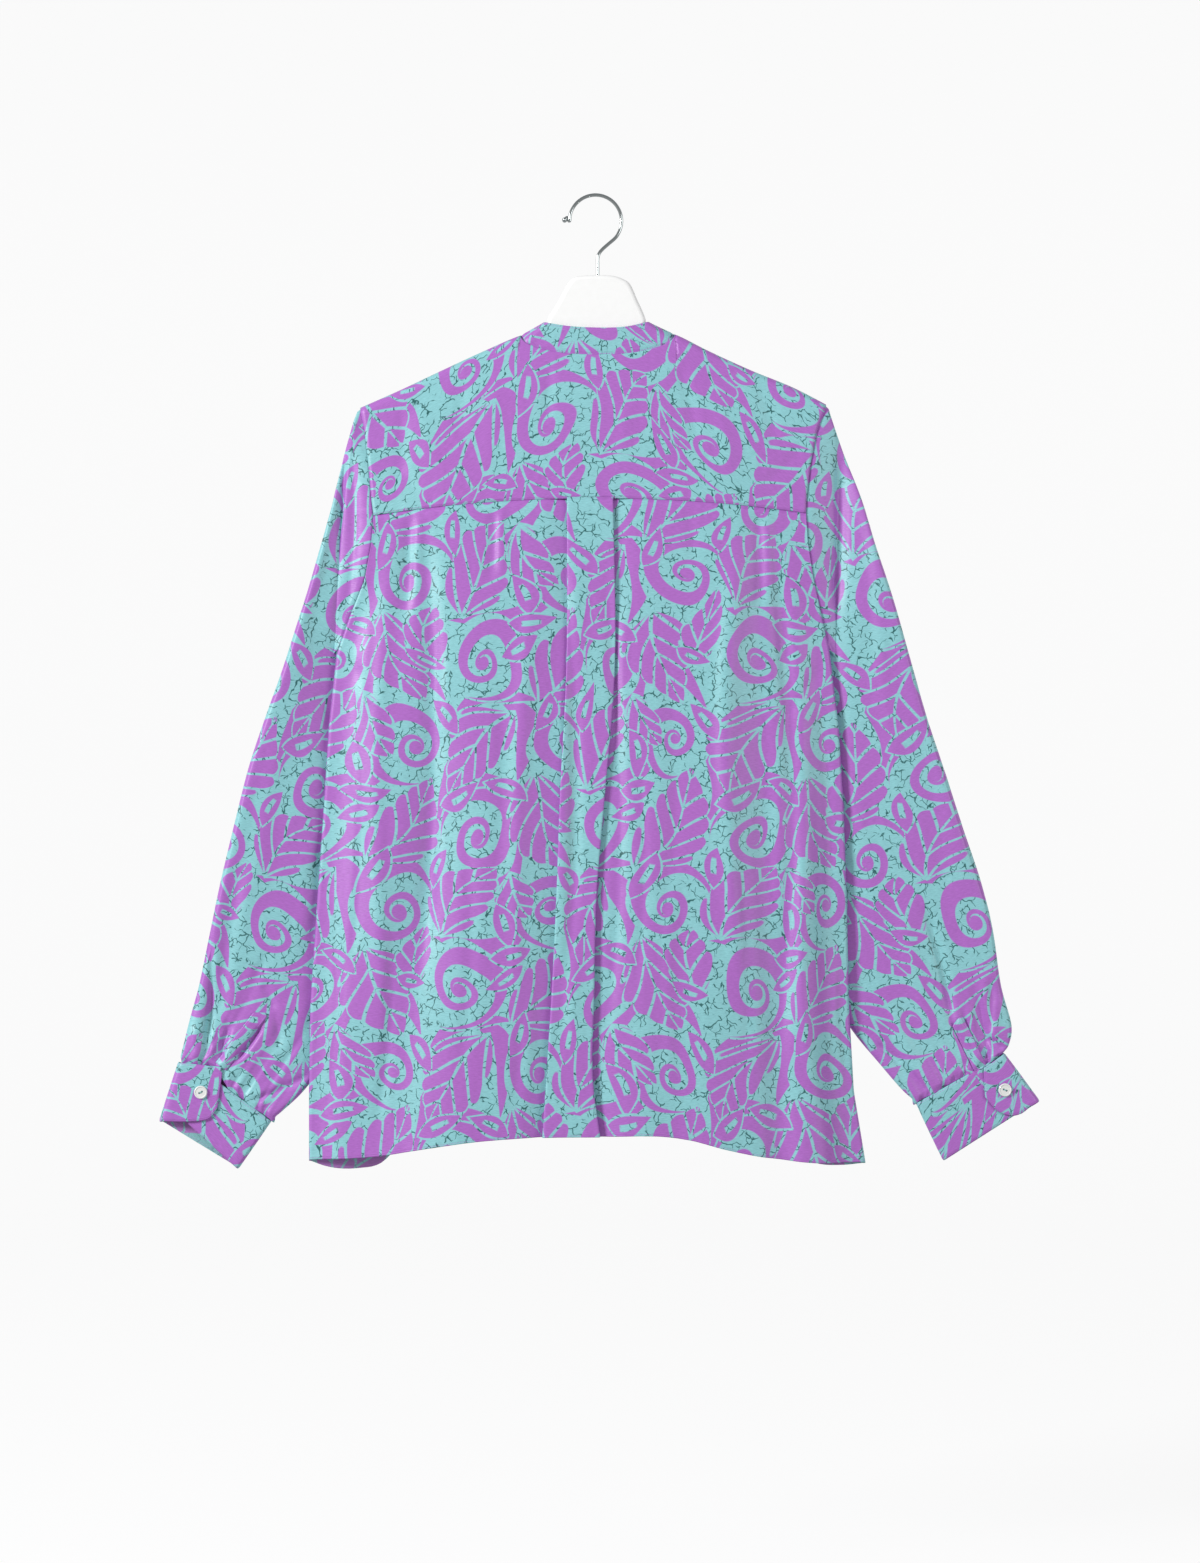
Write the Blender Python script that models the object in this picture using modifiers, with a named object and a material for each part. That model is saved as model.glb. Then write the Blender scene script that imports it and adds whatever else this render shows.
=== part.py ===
"""A long-sleeved blouse with a band collar and a centre back box pleat, on a plain broad hanger.

The back of the blouse faces -Y, +X is the wearer's right, +Z is up. The origin is the inside top of
the hanger's hook, where a rod or a wall hook holds it. Every number below is in millimetres.
Each piece of cloth is a grid of points on the garment's form, given its thickness by Solidify.
"""

import math

import bpy
import numpy as np

METRES = 0.001

CLOTH = 1.2  # thickness of every cloth wall
SEAM = 0.3  # gap between two pieces at a seam
SIDE_SEAM = 0.9  # gap at the side seams, whose edges lean a little toward each other
ARM_SEAM = 1.1  # gap at the armhole and the cuff, where the two edges run at an angle

RIDGE_RADIUS = 6.9  # of the cloth's middle, over the arm of the hanger
RIDGE_ARC = RIDGE_RADIUS * math.pi / 2  # from the shoulder line down to where the cloth hangs straight
FRONT_YOKE = 28.0  # how far the yoke reaches over the shoulder to its front seam
UNDERARM = -390.0
HEM_LEVEL = -830.0
SIDE_RADIUS = 2.5  # of the soft edge at the side seams
BACK_GROW = 9.0  # how much further out the back hangs than the ridge, below the yoke
BACK_FLARE = 7.0  # and how much further again at the hem
LAP = 12.0  # how far each front passes the middle
LAP_DEPTH = 1.9  # how far the upper front stands off the lower one
FRONT_SEAM_DROP = 2.4 * SEAM  # the fronts' upper edge below the yoke's front seam, which is curved
ARMHOLE_ROWS = (-276, -300, -330, -360, -390)  # heights of the rows beside the armhole, down to its foot
FRONT_ARM_ROWS = (-228, -252, *ARMHOLE_ROWS)
BACK_ROW_COUNT = 12  # rows from the underarm to the hem
FRONT_ROW_COUNT = 9
FLANK_STEPS = 13  # columns of the back on each side of the box pleat

# The shoulder line: place across, height.
SHOULDER = (
    (-203, -182), (-167, -166), (-131, -149), (-94, -132), (-66, -120),
    (68, -119), (94, -132), (131, -149), (172, -166), (197, -179),
)

# The edges of the body: height, left edge, right edge. Armholes above the underarm, side seams below.
BODY_EDGES = (
    (-182, -203, 197), (-203, -199, 189), (-228, -196, 184), (-261, -193, 180), (-276, -191, 179.5),
    (-300, -193, 181), (-330, -199, 186), (-360, -212, 193), (-390, -223, 200), (-455, -230, 208),
    (-519, -234, 212), (-605, -240, 215), (-698, -246, 217), (-769, -247, 221), (-830, -247, 231),
)

# The back hem: place across, height.
BACK_HEM = (
    (-247, -828), (-182, -823), (-155, -818), (-111, -811), (-60, -807), (3, -806),
    (61, -806), (81, -809), (111, -817), (139, -823), (190, -829), (231, -830),
)

# The front hem: place across, height. It drops below the back hem beside the side seams.
FRONT_HEM = (
    (-247, -829), (-233, -834), (-205, -836), (-186, -832), (-168, -815), (-140, -800),
    (0, -796), (140, -802), (168, -822), (190, -832), (212, -833), (231, -831),
)

# The centre back box pleat: height, left fold, right fold, width folded under, step between layers.
BOX_PLEAT = (
    (-265, -25, 14, 11, 1.8), (-424, -26, 15, 10, 2.0), (-519, -31, 7, 9, 2.2),
    (-605, -34, 0, 8, 2.5), (-691, -38, -2, 7, 2.8), (-777, -43, -3, 6, 3.0), (-830, -46, 3, 6, 3.2),
)
PLEAT_SETTLE = 20.0  # how far beside the pleat the panel comes back to its own depth

# The largest folds of the back: place at the yoke, half way, at the hem, half width, how far it stands out.
BACK_FOLDS = (
    (-192, -206, -228, 16, 3.0), (-162, -143, -184, 26, -7.0), (-104, -96, -118, 30, 4.0),
    (-58, -62, -80, 18, 2.0), (48, 46, 40, 26, 4.0), (98, 96, 96, 24, 3.0),
    (136, 145, 158, 13, -7.0), (163, 176, 192, 17, 5.0),
)

# The folds of each front, as for the back, on the side away from the view.
FRONT_FOLDS = ((120, 128, 140, 20, -1.6), (70, 74, 80, 22, 1.0), (160, 168, 185, 18, 0.8))

# A sleeve from the armhole to the cuff: outer edge across and up, inner edge across and up,
# depth of the outer edge, depth of the inner edge, half thickness. Negative depth is toward the view.
LEFT_SLEEVE = (
    (-209, -196, -227, -399, -3.0, 6.0, 6.0), (-217, -222, -221, -412, 3.5, 9.5, 4.0),
    (-228, -270, -208, -432, 1.5, 11.5, 5.0), (-240, -313, -193, -464, -0.5, 13.0, 6.0),
    (-255, -360, -185, -504, -1.0, 13.5, 6.0), (-270, -407, -183, -548, -1.0, 13.5, 6.0),
    (-285, -449, -187, -592, -0.5, 13.5, 6.0), (-299, -491, -194, -632, 0.0, 13.0, 6.0),
    (-312, -542, -204, -668, 1.0, 12.5, 6.0), (-324, -592, -214, -700, 2.0, 12.0, 6.0),
    (-333, -635, -225, -726, 3.0, 11.0, 5.5), (-342, -678, -238, -750, 4.0, 10.0, 5.0),
    (-350, -708, -254, -771, 4.0, 8.0, 4.5), (-356, -732, -270, -786, 4.0, 5.0, 4.2),
)
RIGHT_SLEEVE = (
    (203, -194, 206, -402, 1.0, 6.0, 5.5), (213, -222, 198, -420, 3.5, 9.5, 4.0),
    (228, -261, 188, -452, 0.0, 11.5, 5.0), (241, -304, 180, -482, -2.0, 13.0, 6.0),
    (256, -350, 176, -512, -2.0, 13.5, 6.0), (270, -399, 175, -545, -1.0, 13.5, 6.0),
    (284, -448, 178, -578, -0.5, 13.5, 6.0), (299, -493, 183, -612, 0.0, 13.0, 6.0),
    (315, -542, 190, -643, 1.0, 12.5, 6.0), (331, -590, 198, -672, 2.0, 12.0, 6.0),
    (341, -631, 209, -699, 3.0, 11.0, 5.5), (348, -678, 224, -722, 4.0, 10.0, 5.0),
    (357, -712, 244, -746, 4.0, 8.0, 4.5), (355, -729, 263, -768, 4.0, 5.0, 4.2),
)

# A cuff: the top and the bottom of its outer fold, its inner fold and the end of the hidden layer.
LEFT_CUFF = {
    "outer": ((-359.5, -744.5), (-376, -795)),
    "inner": ((-280.3, -794.7), (-309, -836)),
    "hidden": ((-337, -753), (-352, -797)),
    "tab_top": (-321, -748.5),
    # The tab's lower edge: part of the way to its end, place across, height.
    "tab_edge": ((0, -376, -795), (0.4, -357, -795.5), (0.65, -344, -795), (0.85, -332, -792), (1, -326, -784)),
    # How far the sleeve's edge climbs to the tab: part of the way across, rise.
    "rise": ((0, 0), (0.37, 17.5), (0.43, 18), (0.5, 4.8), (1, 0)),
}
RIGHT_CUFF = {
    "outer": ((350.5, -737), (381, -778)),
    "inner": ((275.5, -779.5), (299, -829)),
    "hidden": ((322, -756), (345, -796)),
    "tab_top": (333, -749.5),
    "tab_edge": ((0, 381, -778), (0.3, 371, -784), (0.55, 361, -790), (0.8, 346, -787), (1, 334, -774)),
    "rise": ((0, 0), (0.25, -1), (0.5, 0), (1, 0)),
}
SLEEVE_STEPS = 12  # columns across one wall of a sleeve
SLEEVE_CLEARANCE = 2.8  # from the middle of the body's edge to the middle of the sleeve behind it
SLEEVE_COMES_OUT = 0.36  # how steeply the sleeve comes forward again beside the body
TUCK = (1, 3)  # how early the first ring, and every later one, goes behind the body
THINNEST_SLEEVE = 4.4  # between the middles of its two walls
GATHER_FADE = (0, 0, 0, 0, 0, 0, 0, 0, 0, 0, 0.1, 0.3, 0.6, 0.9, 1)  # row by row down a sleeve
RISE_FADE = (0, 0, 0, 0, 0, 0, 0, 0, 0, 0.05, 0.12, 0.25, 0.45, 0.7, 1)
PLACKET_ROWS = 4
CUFF_TAB_DEPTH = -0.8
CUFF_HIDDEN_DEPTH = 1.2
CUFF_FAR_DEPTH = 8.0
CUFF_MIDDLE = 4.0
CUFF_HALF = 4.0

# The gathers above a cuff: part of the way across, half width, how far each stands out.
GATHERS = (
    (0.1, 0.05, 1.6), (0.24, 0.045, -1.6), (0.36, 0.05, 1.4), (0.64, 0.045, -1.4),
    (0.76, 0.05, 1.6), (0.9, 0.045, -1.2),
)

NECK_HALF = 66.0  # half the neck opening at the shoulder line
NECK_BACK = -137.0  # height of the collar seam at the centre back
NECK_FRONT = -205.0  # and at the centre front
BAND_HALF = 45.5  # half the opening at the collar's upper edge
BAND_DEPTH = 9.2
BAND_FRONT = -182.0
BAND_FRONT_DEPTH = 7.4
BAND_SEAM = 0.6  # between the band and the edge that it is sewn to
BAND_CORNER_SEAM = 2.2  # and at the shoulder, where that edge turns
# The collar's upper edge across the back: place across, height.
BAND_TOP = ((-45.5, -109), (-29, -112), (2, -114), (26, -113), (45.5, -108.5))

BUTTON_RADIUS = 5.75
BUTTON_THICK = 2.2
BUTTON_SIDES = 14
BUTTON_RIM = 0.5
BUTTON_LIFT = 0.6  # of the front buttons, where the front bows out a little
CUFF_BUTTONS = {"left": (-340, -770), "right": (351, -768)}
FRONT_BUTTONS = (-193, -232, -318, -404, -490, -576, -662, -748)

HANGER_HALF = 5.9
HANGER_SINK = 1.4  # of the hanger's arms below the middle of the cloth that rests on them
HANGER_END = 197.0
# The neck block of the hanger: place across, height of its upper edge.
HANGER_BLOCK = (
    (-80, -132.5), (-66, -129), (-54, -122.5), (-46, -117), (-42.2, -113), (-41.8, -105), (-35, -94),
    (-25, -76), (-19, -70), (-10, -68.4), (1, -68), (13, -68.4), (22, -71), (29, -76), (35, -89),
    (42, -105), (42.4, -113), (48, -117.5), (56, -123), (68, -129), (80, -132.5),
)
ARM_HEIGHTS = ((0, 97), (30, 84), (46, 52), (80, 36), (130, 28), (175, 18), (197, 12.4))

WIRE_RADIUS = 1.5
KNOB_RADIUS = 2.3
HOOK_RADIUS = 22.4
HOOK_CENTRE = (-0.9, -21.1)


def along(place, table, column=1):
    """A smooth curve through one column of a table, read at a place in its first column."""
    rows = sorted(table)
    at = np.array([row[0] for row in rows], float)
    value = np.array([row[column] for row in rows], float)
    slope = np.gradient(value, at)
    place = np.clip(place, at[0], at[-1])
    i = np.clip(np.searchsorted(at, place, side="right") - 1, 0, len(at) - 2)
    step = at[i + 1] - at[i]
    f = (place - at[i]) / step
    g = 1 - f
    rise = step * f * g * (slope[i] * g - slope[i + 1] * f)
    return value[i] * g * g * (1 + 2 * f) + value[i + 1] * f * f * (3 - 2 * f) + rise


def straight(place, table, column=1):
    """One column of a table, read along straight lines."""
    rows = sorted(table)
    return np.interp(place, [row[0] for row in rows], [row[column] for row in rows])


def ease(f):
    """0 to 1 with a soft start and a soft end."""
    f = np.clip(f, 0, 1)
    return f * f * (3 - 2 * f)


def quarter(distance, radius):
    """The height of a quarter circle, a distance in from where it starts."""
    inside = radius - np.clip(distance, 0, radius)
    return np.sqrt(np.maximum(radius**2 - inside**2, 0))


def yoke_seam(x):
    """Height of the seam between the yoke and the back."""
    return -261 - 13 * ((x - 1) / 185) ** 2


def fold_depth(x, z, folds):
    """Sum of the folds at a point, each a soft ridge or trough that grows toward the hem."""
    t = np.clip((z - yoke_seam(x)) / (HEM_LEVEL - yoke_seam(x)), 0, 1)
    total = 0.0
    for top, middle, hem, width, rise in folds:
        centre = np.where(t < 0.5, top + (middle - top) * 2 * t, middle + (hem - middle) * (2 * t - 1))
        total = total + rise * (0.15 + 0.85 * ease(1.6 * t)) * np.exp(-(((x - centre) / width) ** 2))
    return total * ease(8 * t)


def half_depth(x, z, grow, flare, folds):
    """How far a body panel lies from the middle plane: nothing at the side seam, full inside."""
    below = along(x, SHOULDER) - z
    left, right = straight(z, BODY_EDGES, 1), straight(z, BODY_EDGES, 2)
    inset = np.maximum(np.minimum(x - left, right - x), 0)
    open_part = ease((z - UNDERARM) / 95)
    hang = 1 - np.exp(-np.maximum(below - RIDGE_RADIUS, 0) / 90)
    full = RIDGE_RADIUS + grow * hang + flare * np.clip((z + 270) / (HEM_LEVEL + 270), 0, 1)
    edge = (RIDGE_RADIUS + 0.3 * grow * hang) * open_part
    closing = (1 - open_part) * quarter(inset, SIDE_RADIUS)
    inner = full - edge - (1 - open_part) * SIDE_RADIUS
    body = edge + closing + inner * ease(inset / 75) + fold_depth(x, z, folds) * ease((inset - 4) / 30)
    return body * quarter(below, RIDGE_RADIUS) / RIDGE_RADIUS


def back_y(x, z):
    return -half_depth(x, z, BACK_GROW, BACK_FLARE, BACK_FOLDS)


def front_y(x, z):
    both = tuple((s * a, s * b, s * c, w, r) for a, b, c, w, r in FRONT_FOLDS for s in (-1, 1))
    return half_depth(x, z, 0.0, 0.0, both)


def over_shoulder(x, s):
    """A point on the yoke: s runs over the shoulder line, back side below 0 and front side above."""
    height = along(x, SHOULDER)
    angle = np.clip(s / RIDGE_RADIUS, -math.pi / 2, math.pi / 2)
    straight_part = np.maximum(np.abs(s) - RIDGE_ARC, 0)
    z = height - RIDGE_RADIUS * (1 - np.cos(angle)) - straight_part
    hanging = np.where(s < 0, back_y(x, z), front_y(x, z))
    y = np.where(np.abs(s) < RIDGE_ARC, RIDGE_RADIUS * np.sin(angle), hanging)
    return np.stack(np.broadcast_arrays(x, y, z), axis=-1)


def new_material(name, colour, roughness, metallic=0.0):
    material = bpy.data.materials.new(name)
    material.use_nodes = True
    shader = material.node_tree.nodes["Principled BSDF"]
    shader.inputs["Base Color"].default_value = (*colour, 1.0)
    shader.inputs["Roughness"].default_value = roughness
    shader.inputs["Metallic"].default_value = metallic
    material.diffuse_color = (*colour, 1.0)
    return material


def new_object(name, mesh, material):
    obj = bpy.data.objects.new(name, mesh)
    mesh.materials.append(material)
    bpy.data.collections["blouse_on_hanger"].objects.link(obj)
    return obj


def grid_faces(rows, columns, ring):
    """The quads of a grid of points, joined round from the last column to the first if it is a ring."""
    count = columns if ring else columns - 1
    faces = []
    for r in range(rows - 1):
        for c in range(count):
            d = (c + 1) % columns
            faces.append((r * columns + c, r * columns + d, (r + 1) * columns + d, (r + 1) * columns + c))
    return faces


def cloth(name, grid, material, ring=False):
    """A sheet of cloth on a grid of points, with the cloth's thickness."""
    rows, columns = grid.shape[:2]
    mesh = bpy.data.meshes.new(name)
    points = (grid.reshape(-1, 3) * METRES).tolist()
    mesh.from_pydata(points, [], grid_faces(rows, columns, ring))
    mesh.shade_smooth()
    obj = new_object(name, mesh, material)
    wall = obj.modifiers.new("cloth", "SOLIDIFY")
    wall.thickness = CLOTH * METRES
    wall.offset = 0
    wall.use_quality_normals = True
    return obj


def back_rows():
    """Heights of the back panel's rows at the side: the armhole's own, then even steps to the hem."""
    return np.concatenate([ARMHOLE_ROWS[:-1], np.linspace(UNDERARM, HEM_LEVEL, BACK_ROW_COUNT)])


def edge_steps(length, steps):
    """Distances in from a side seam: three short steps round the soft edge, then longer ones."""
    arc = [SIDE_RADIUS * (1 - math.cos(math.radians(a))) for a in (0, 30, 60)]
    return np.concatenate([arc, np.linspace(SIDE_RADIUS, length, steps + 1)])


def half_turn(x, low, high, side, steps=3):
    """The points between two layers of a fold that turns to one side: place across, step out."""
    middle, radius = (low + high) / 2, (high - low) / 2
    angles = [math.pi * k / steps for k in range(1, steps)]
    return [(x + side * abs(radius) * math.sin(a), middle - radius * math.cos(a)) for a in angles]


def back_section(z):
    """One row of the back across the body, with the two folds of the box pleat in it."""
    left, right = straight(z, BODY_EDGES, 1), straight(z, BODY_EDGES, 2)
    fold_l, fold_r, under, step = (along(z, BOX_PLEAT, k) for k in (1, 2, 3, 4))
    turn = step / 2
    line = []
    for inset in edge_steps(fold_l + under - turn - left, FLANK_STEPS):
        x = left + inset
        line.append((x, step * ease((x - fold_l + PLEAT_SETTLE) / PLEAT_SETTLE)))
    line += half_turn(fold_l + under - turn, step, 0, 1)
    line += [(fold_l + under - turn, 0), (fold_l + turn, 0)]
    line += half_turn(fold_l + turn, 0, -step, -1)
    line += [(x, -step) for x in np.linspace(fold_l + turn, fold_r - turn, 5)]
    line += half_turn(fold_r - turn, -step, 0, 1)
    line += [(fold_r - turn, 0), (fold_r - under + turn, 0)]
    line += half_turn(fold_r - under + turn, 0, step, -1)
    for inset in edge_steps(right - fold_r + under - turn, FLANK_STEPS)[::-1]:
        x = right - inset
        line.append((x, step * ease((fold_r + PLEAT_SETTLE - x) / PLEAT_SETTLE)))
    return np.array(line)


def back_panel(material):
    """The back below the yoke. Its first row follows the yoke seam and its last row the hem."""
    rows = []
    for level in back_rows():
        t = (level - ARMHOLE_ROWS[0]) / (HEM_LEVEL - ARMHOLE_ROWS[0])
        line = back_section(level)
        x = line[:, 0]
        seam = (yoke_seam(x) - ARMHOLE_ROWS[0] - SEAM) * (1 - t) ** 3
        hem = (along(x, BACK_HEM) - HEM_LEVEL) * t**3
        z = level + seam + hem
        y = back_y(x, np.full_like(x, level)) + line[:, 1]
        y[[0, -1]] -= SIDE_SEAM / 2
        rows.append(np.stack([x, y, z], axis=-1))
    cloth("back_panel", np.array(rows), material)


def neck_back(theta):
    """The collar seam across the back, from the left neck point at -90 degrees to the right at 90."""
    x = 1 + NECK_HALF * np.sin(theta)
    z = NECK_BACK + (along(x, SHOULDER) - NECK_BACK) * (1 - np.cos(theta)) ** 1.3
    return x, z


def yoke_columns():
    """The yoke's columns: place across at the back seam, place and s at the other end."""
    columns = []
    shoulder = np.linspace(0, 1, 6)
    back = np.radians(np.linspace(-90, 90, 11))[1:-1]
    for f in shoulder:
        columns.append((-191 + 111 * f, -200 + 138 * f, FRONT_YOKE))
    columns += [(-75, -65, RIDGE_ARC), (-69, -65.5, 0.0)]
    for theta in back:
        x, z = neck_back(theta)
        columns.append((64 * theta / (math.pi / 2), x, -(along(x, SHOULDER) - z) - RIDGE_ARC + RIDGE_RADIUS))
    columns += [(69, 67.5, 0.0), (75, 67, RIDGE_ARC)]
    for f in shoulder[::-1]:
        columns.append((179.5 - 99.5 * f, 193 - 129 * f, FRONT_YOKE))
    return columns


def back_yoke(material):
    """The yoke, from the back seam up over the shoulders to the front seams, with the neck cut out."""
    grid = []
    for low_x, high_x, high_s in yoke_columns():
        low_s = yoke_seam(low_x) + SEAM / 2 - along(low_x, SHOULDER) - RIDGE_ARC + RIDGE_RADIUS
        rise = [low_s * (1 - f) - RIDGE_ARC * f for f in (0, 0.3, 0.6, 0.85, 1)]
        s_rows = np.array(rise + [RIDGE_ARC * f for f in (-0.66, -0.33, 0, 0.33, 0.66, 1)] + [FRONT_YOKE])
        f = (s_rows - low_s) / (FRONT_YOKE - low_s)
        s = low_s + (high_s - low_s) * f
        x = low_x + (high_x - low_x) * f
        if abs(high_x) > 180:
            side = 1 if high_x < 0 else 2
            for _ in range(6):
                x = straight(over_shoulder(x, s)[:, 2], BODY_EDGES, side)
        grid.append(over_shoulder(x, s))
    cloth("back_yoke", np.array(grid).transpose(1, 0, 2), material)


def front_neckline(psi):
    """The collar seam down one front, from the yoke's front seam at 0 to the centre at 90 degrees."""
    top = along(-62.0, SHOULDER) - FRONT_YOKE + RIDGE_ARC - RIDGE_RADIUS - FRONT_SEAM_DROP
    return 62 * np.cos(psi), top + (NECK_FRONT - top) * np.sin(psi)


def front_columns(side):
    """Tops of a front's columns, from the armhole to the middle: place across, height."""
    seam_x = [-200 + 138 * f if side < 0 else 193 - 129 * f for f in np.linspace(0, 1, 6)]
    seam_x[1:1] = [seam_x[0] - side * d for d in (0.33, 1.25, 2.5)]
    drop = FRONT_YOKE - RIDGE_ARC + RIDGE_RADIUS + FRONT_SEAM_DROP
    tops = [(x, along(x, SHOULDER) - drop) for x in seam_x]
    for psi in np.radians((18, 36, 54, 72, 90)):
        x, z = front_neckline(psi)
        tops.append((side * x, z))
    tops.append((-side * LAP, NECK_FRONT))
    return tops


def lap_step(x, side):
    """The right front laps over the left one: its step away from the body near the middle."""
    return LAP_DEPTH * ease((34 - x) / 20) if side > 0 else 0 * x


def front_panel(name, side, material):
    """One front. Its rows run from the yoke seam and the neckline down to the hem."""
    column = 1 if side < 0 else 2
    grid = []
    first_top = front_columns(side)[0][1]
    levels = np.concatenate([[first_top], FRONT_ARM_ROWS[:-1], np.linspace(UNDERARM, HEM_LEVEL, FRONT_ROW_COUNT)])
    steps = (levels - first_top) / (HEM_LEVEL - first_top)
    for top_x, top_z in front_columns(side):
        edge = straight(top_z, BODY_EDGES, column)
        part = (top_x - edge) / (-side * LAP - edge)
        part = max(part, 0.0)
        foot = straight(HEM_LEVEL, BODY_EDGES, column)
        hem = along(foot + part * (-side * LAP - foot), FRONT_HEM)
        z = top_z + (hem - top_z) * steps
        if part == 0:
            z = np.where(levels < UNDERARM, z, levels)
        edge = straight(z, BODY_EDGES, column)
        x = edge + part * (-side * LAP - edge)
        y = front_y(x, z) + lap_step(x, side)
        if part == 0:
            y = y + SIDE_SEAM / 2
        grid.append(np.stack([x, y, z], axis=-1))
    cloth(name, np.array(grid).transpose(1, 0, 2), material)


def collar_rings():
    """The lower and the upper edge of the band collar, from the left front round the back to the right."""
    low, high = [], []
    for side in (-1, 1):
        low_half, high_half = [], []
        ends = [(-side * LAP, NECK_FRONT)]
        for psi in np.radians((90, 72, 54, 36, 18, 0)):
            x, z = front_neckline(psi)
            ends.append((side * x, z))
        for k, (x, z) in enumerate(ends):
            psi = math.radians((90, 90, 72, 54, 36, 18, 0)[k])
            step = lap_step(x, side)
            low_half.append((x, front_y(x, z) + step, z))
            top_x = x if k < 2 else side * (BAND_HALF - 1) * math.cos(psi)
            top_z = -124 + (BAND_FRONT + 124) * math.sin(psi)
            high_half.append((top_x, BAND_FRONT_DEPTH + step, top_z))
        for s, y, z in ((RIDGE_ARC, 5.6, -113.0), (0.0, 0.0, -108.8)):
            low_half.append(tuple(over_shoulder(side * 66.0 + 1, s)))
            high_half.append((side * BAND_HALF, y, z))
        low.append(low_half)
        high.append(high_half)
    back_low, back_high = [], []
    for theta in np.radians(np.linspace(-90, 90, 11))[1:-1]:
        x, z = neck_back(theta)
        back_low.append((x, float(back_y(x, z)), z))
        top_x = BAND_HALF * math.sin(theta)
        back_high.append((top_x, -BAND_DEPTH * math.cos(theta) ** 0.25, float(along(top_x, BAND_TOP))))
    return (
        np.array(low[0] + back_low + low[1][::-1], float),
        np.array(high[0] + back_high + high[1][::-1], float),
    )


def collar_band(material):
    low, high = collar_rings()
    up = (high - low) / np.linalg.norm(high - low, axis=1)[:, None]
    corner = np.abs(np.abs(low[:, 0]) - NECK_HALF) < 5
    low = low + up * np.where(corner, BAND_CORNER_SEAM, BAND_SEAM)[:, None]
    cloth("collar_band", np.array([low + (high - low) * f for f in (0, 0.33, 0.67, 1)]), material)


def behind_body(x, z, side):
    """The least depth at which a sleeve passes clear behind the side of the body."""
    column = 1 if side < 0 else 2
    edge = straight(z, BODY_EDGES, column)
    inside = (x - edge) * -side
    clear = np.maximum(front_y(np.where(inside > 0, x, edge), z), SIDE_RADIUS) + SLEEVE_CLEARANCE
    return clear + np.minimum(inside, 0) * SLEEVE_COMES_OUT


def end_turn(centre, direction, radius, y_near, y_far, outward):
    """Three points round the end of a flattened tube."""
    points = []
    for angle in (-45, 0, 45):
        a = math.radians(angle)
        reach = radius * math.cos(a) * outward
        y = (y_near + y_far) / 2 + (y_far - y_near) / 2 * math.sin(a)
        points.append((*(centre + direction * reach), y))
    return points


def sleeve_row(row, side, steps, gather, rise, climb, tuck):
    """One ring of a sleeve: near wall from the outer to the inner edge, then the far wall back."""
    ox, oz, ix, iz, outer_y, inner_y, half = row
    outer, inner = np.array([ox, oz]), np.array([ix, iz])
    length = np.linalg.norm(inner - outer)
    direction = (inner - outer) / length
    up = np.array([-direction[1], direction[0]]) * (1 if direction[0] > 0 else -1)
    part = np.linspace(half / length, 1 - half / length, steps + 1)
    flat = outer + direction * (part * length)[:, None]
    middle = outer_y + (inner_y - outer_y) * part**0.75
    bump = sum(h * np.exp(-(((part - c) / w) ** 2)) for c, w, h in GATHERS) * gather
    near = middle - half - bump
    near = near + np.maximum(behind_body(flat[:, 0], flat[:, 1], side) - near, 0) * ease(part * tuck)
    far = np.maximum(middle + half + 0.6 * bump, near + THINNEST_SLEEVE)
    near_flat = flat + up * (straight(part, rise) * climb)[:, None]
    ring = [(*p, y) for p, y in zip(near_flat, near)]
    ring += end_turn(flat[-1], direction, half, near[-1], far[-1], 1)
    ring += [(*p, y) for p, y in zip(flat[::-1], far[::-1])]
    ring += end_turn(flat[0], direction, half, near[0], far[0], -1)[::-1]
    return np.array(ring)[:, [0, 2, 1]]


def armhole_ring(side, steps):
    """The sleeve's first ring, just outside the armhole edges of the yoke, the back and the front."""
    column = 1 if side < 0 else 2
    top = along(-203.0 if side < 0 else 197.0, SHOULDER)
    z = np.linspace(top - RIDGE_RADIUS, UNDERARM + 12, steps + 1)
    x = straight(z, BODY_EDGES, column)
    near = [(a, float(back_y(a, b)), b) for a, b in zip(x, z)]
    far = [(a, float(front_y(a, b)), b) for a, b in zip(x, z)]
    foot = straight(UNDERARM, BODY_EDGES, column)
    turn = [(foot, -1.2, UNDERARM + 4), (foot, 0, UNDERARM + 1), (foot, 1.2, UNDERARM + 4)]
    head = straight(top, BODY_EDGES, column)
    crest = []
    for angle in (45, 0, -45):
        a = math.radians(angle)
        crest.append((head, RIDGE_RADIUS * math.sin(a), top - RIDGE_RADIUS * (1 - math.cos(a))))
    ring = np.array(near + turn + far[::-1] + crest)
    ring[:, 0] += side * ARM_SEAM
    return ring


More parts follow.
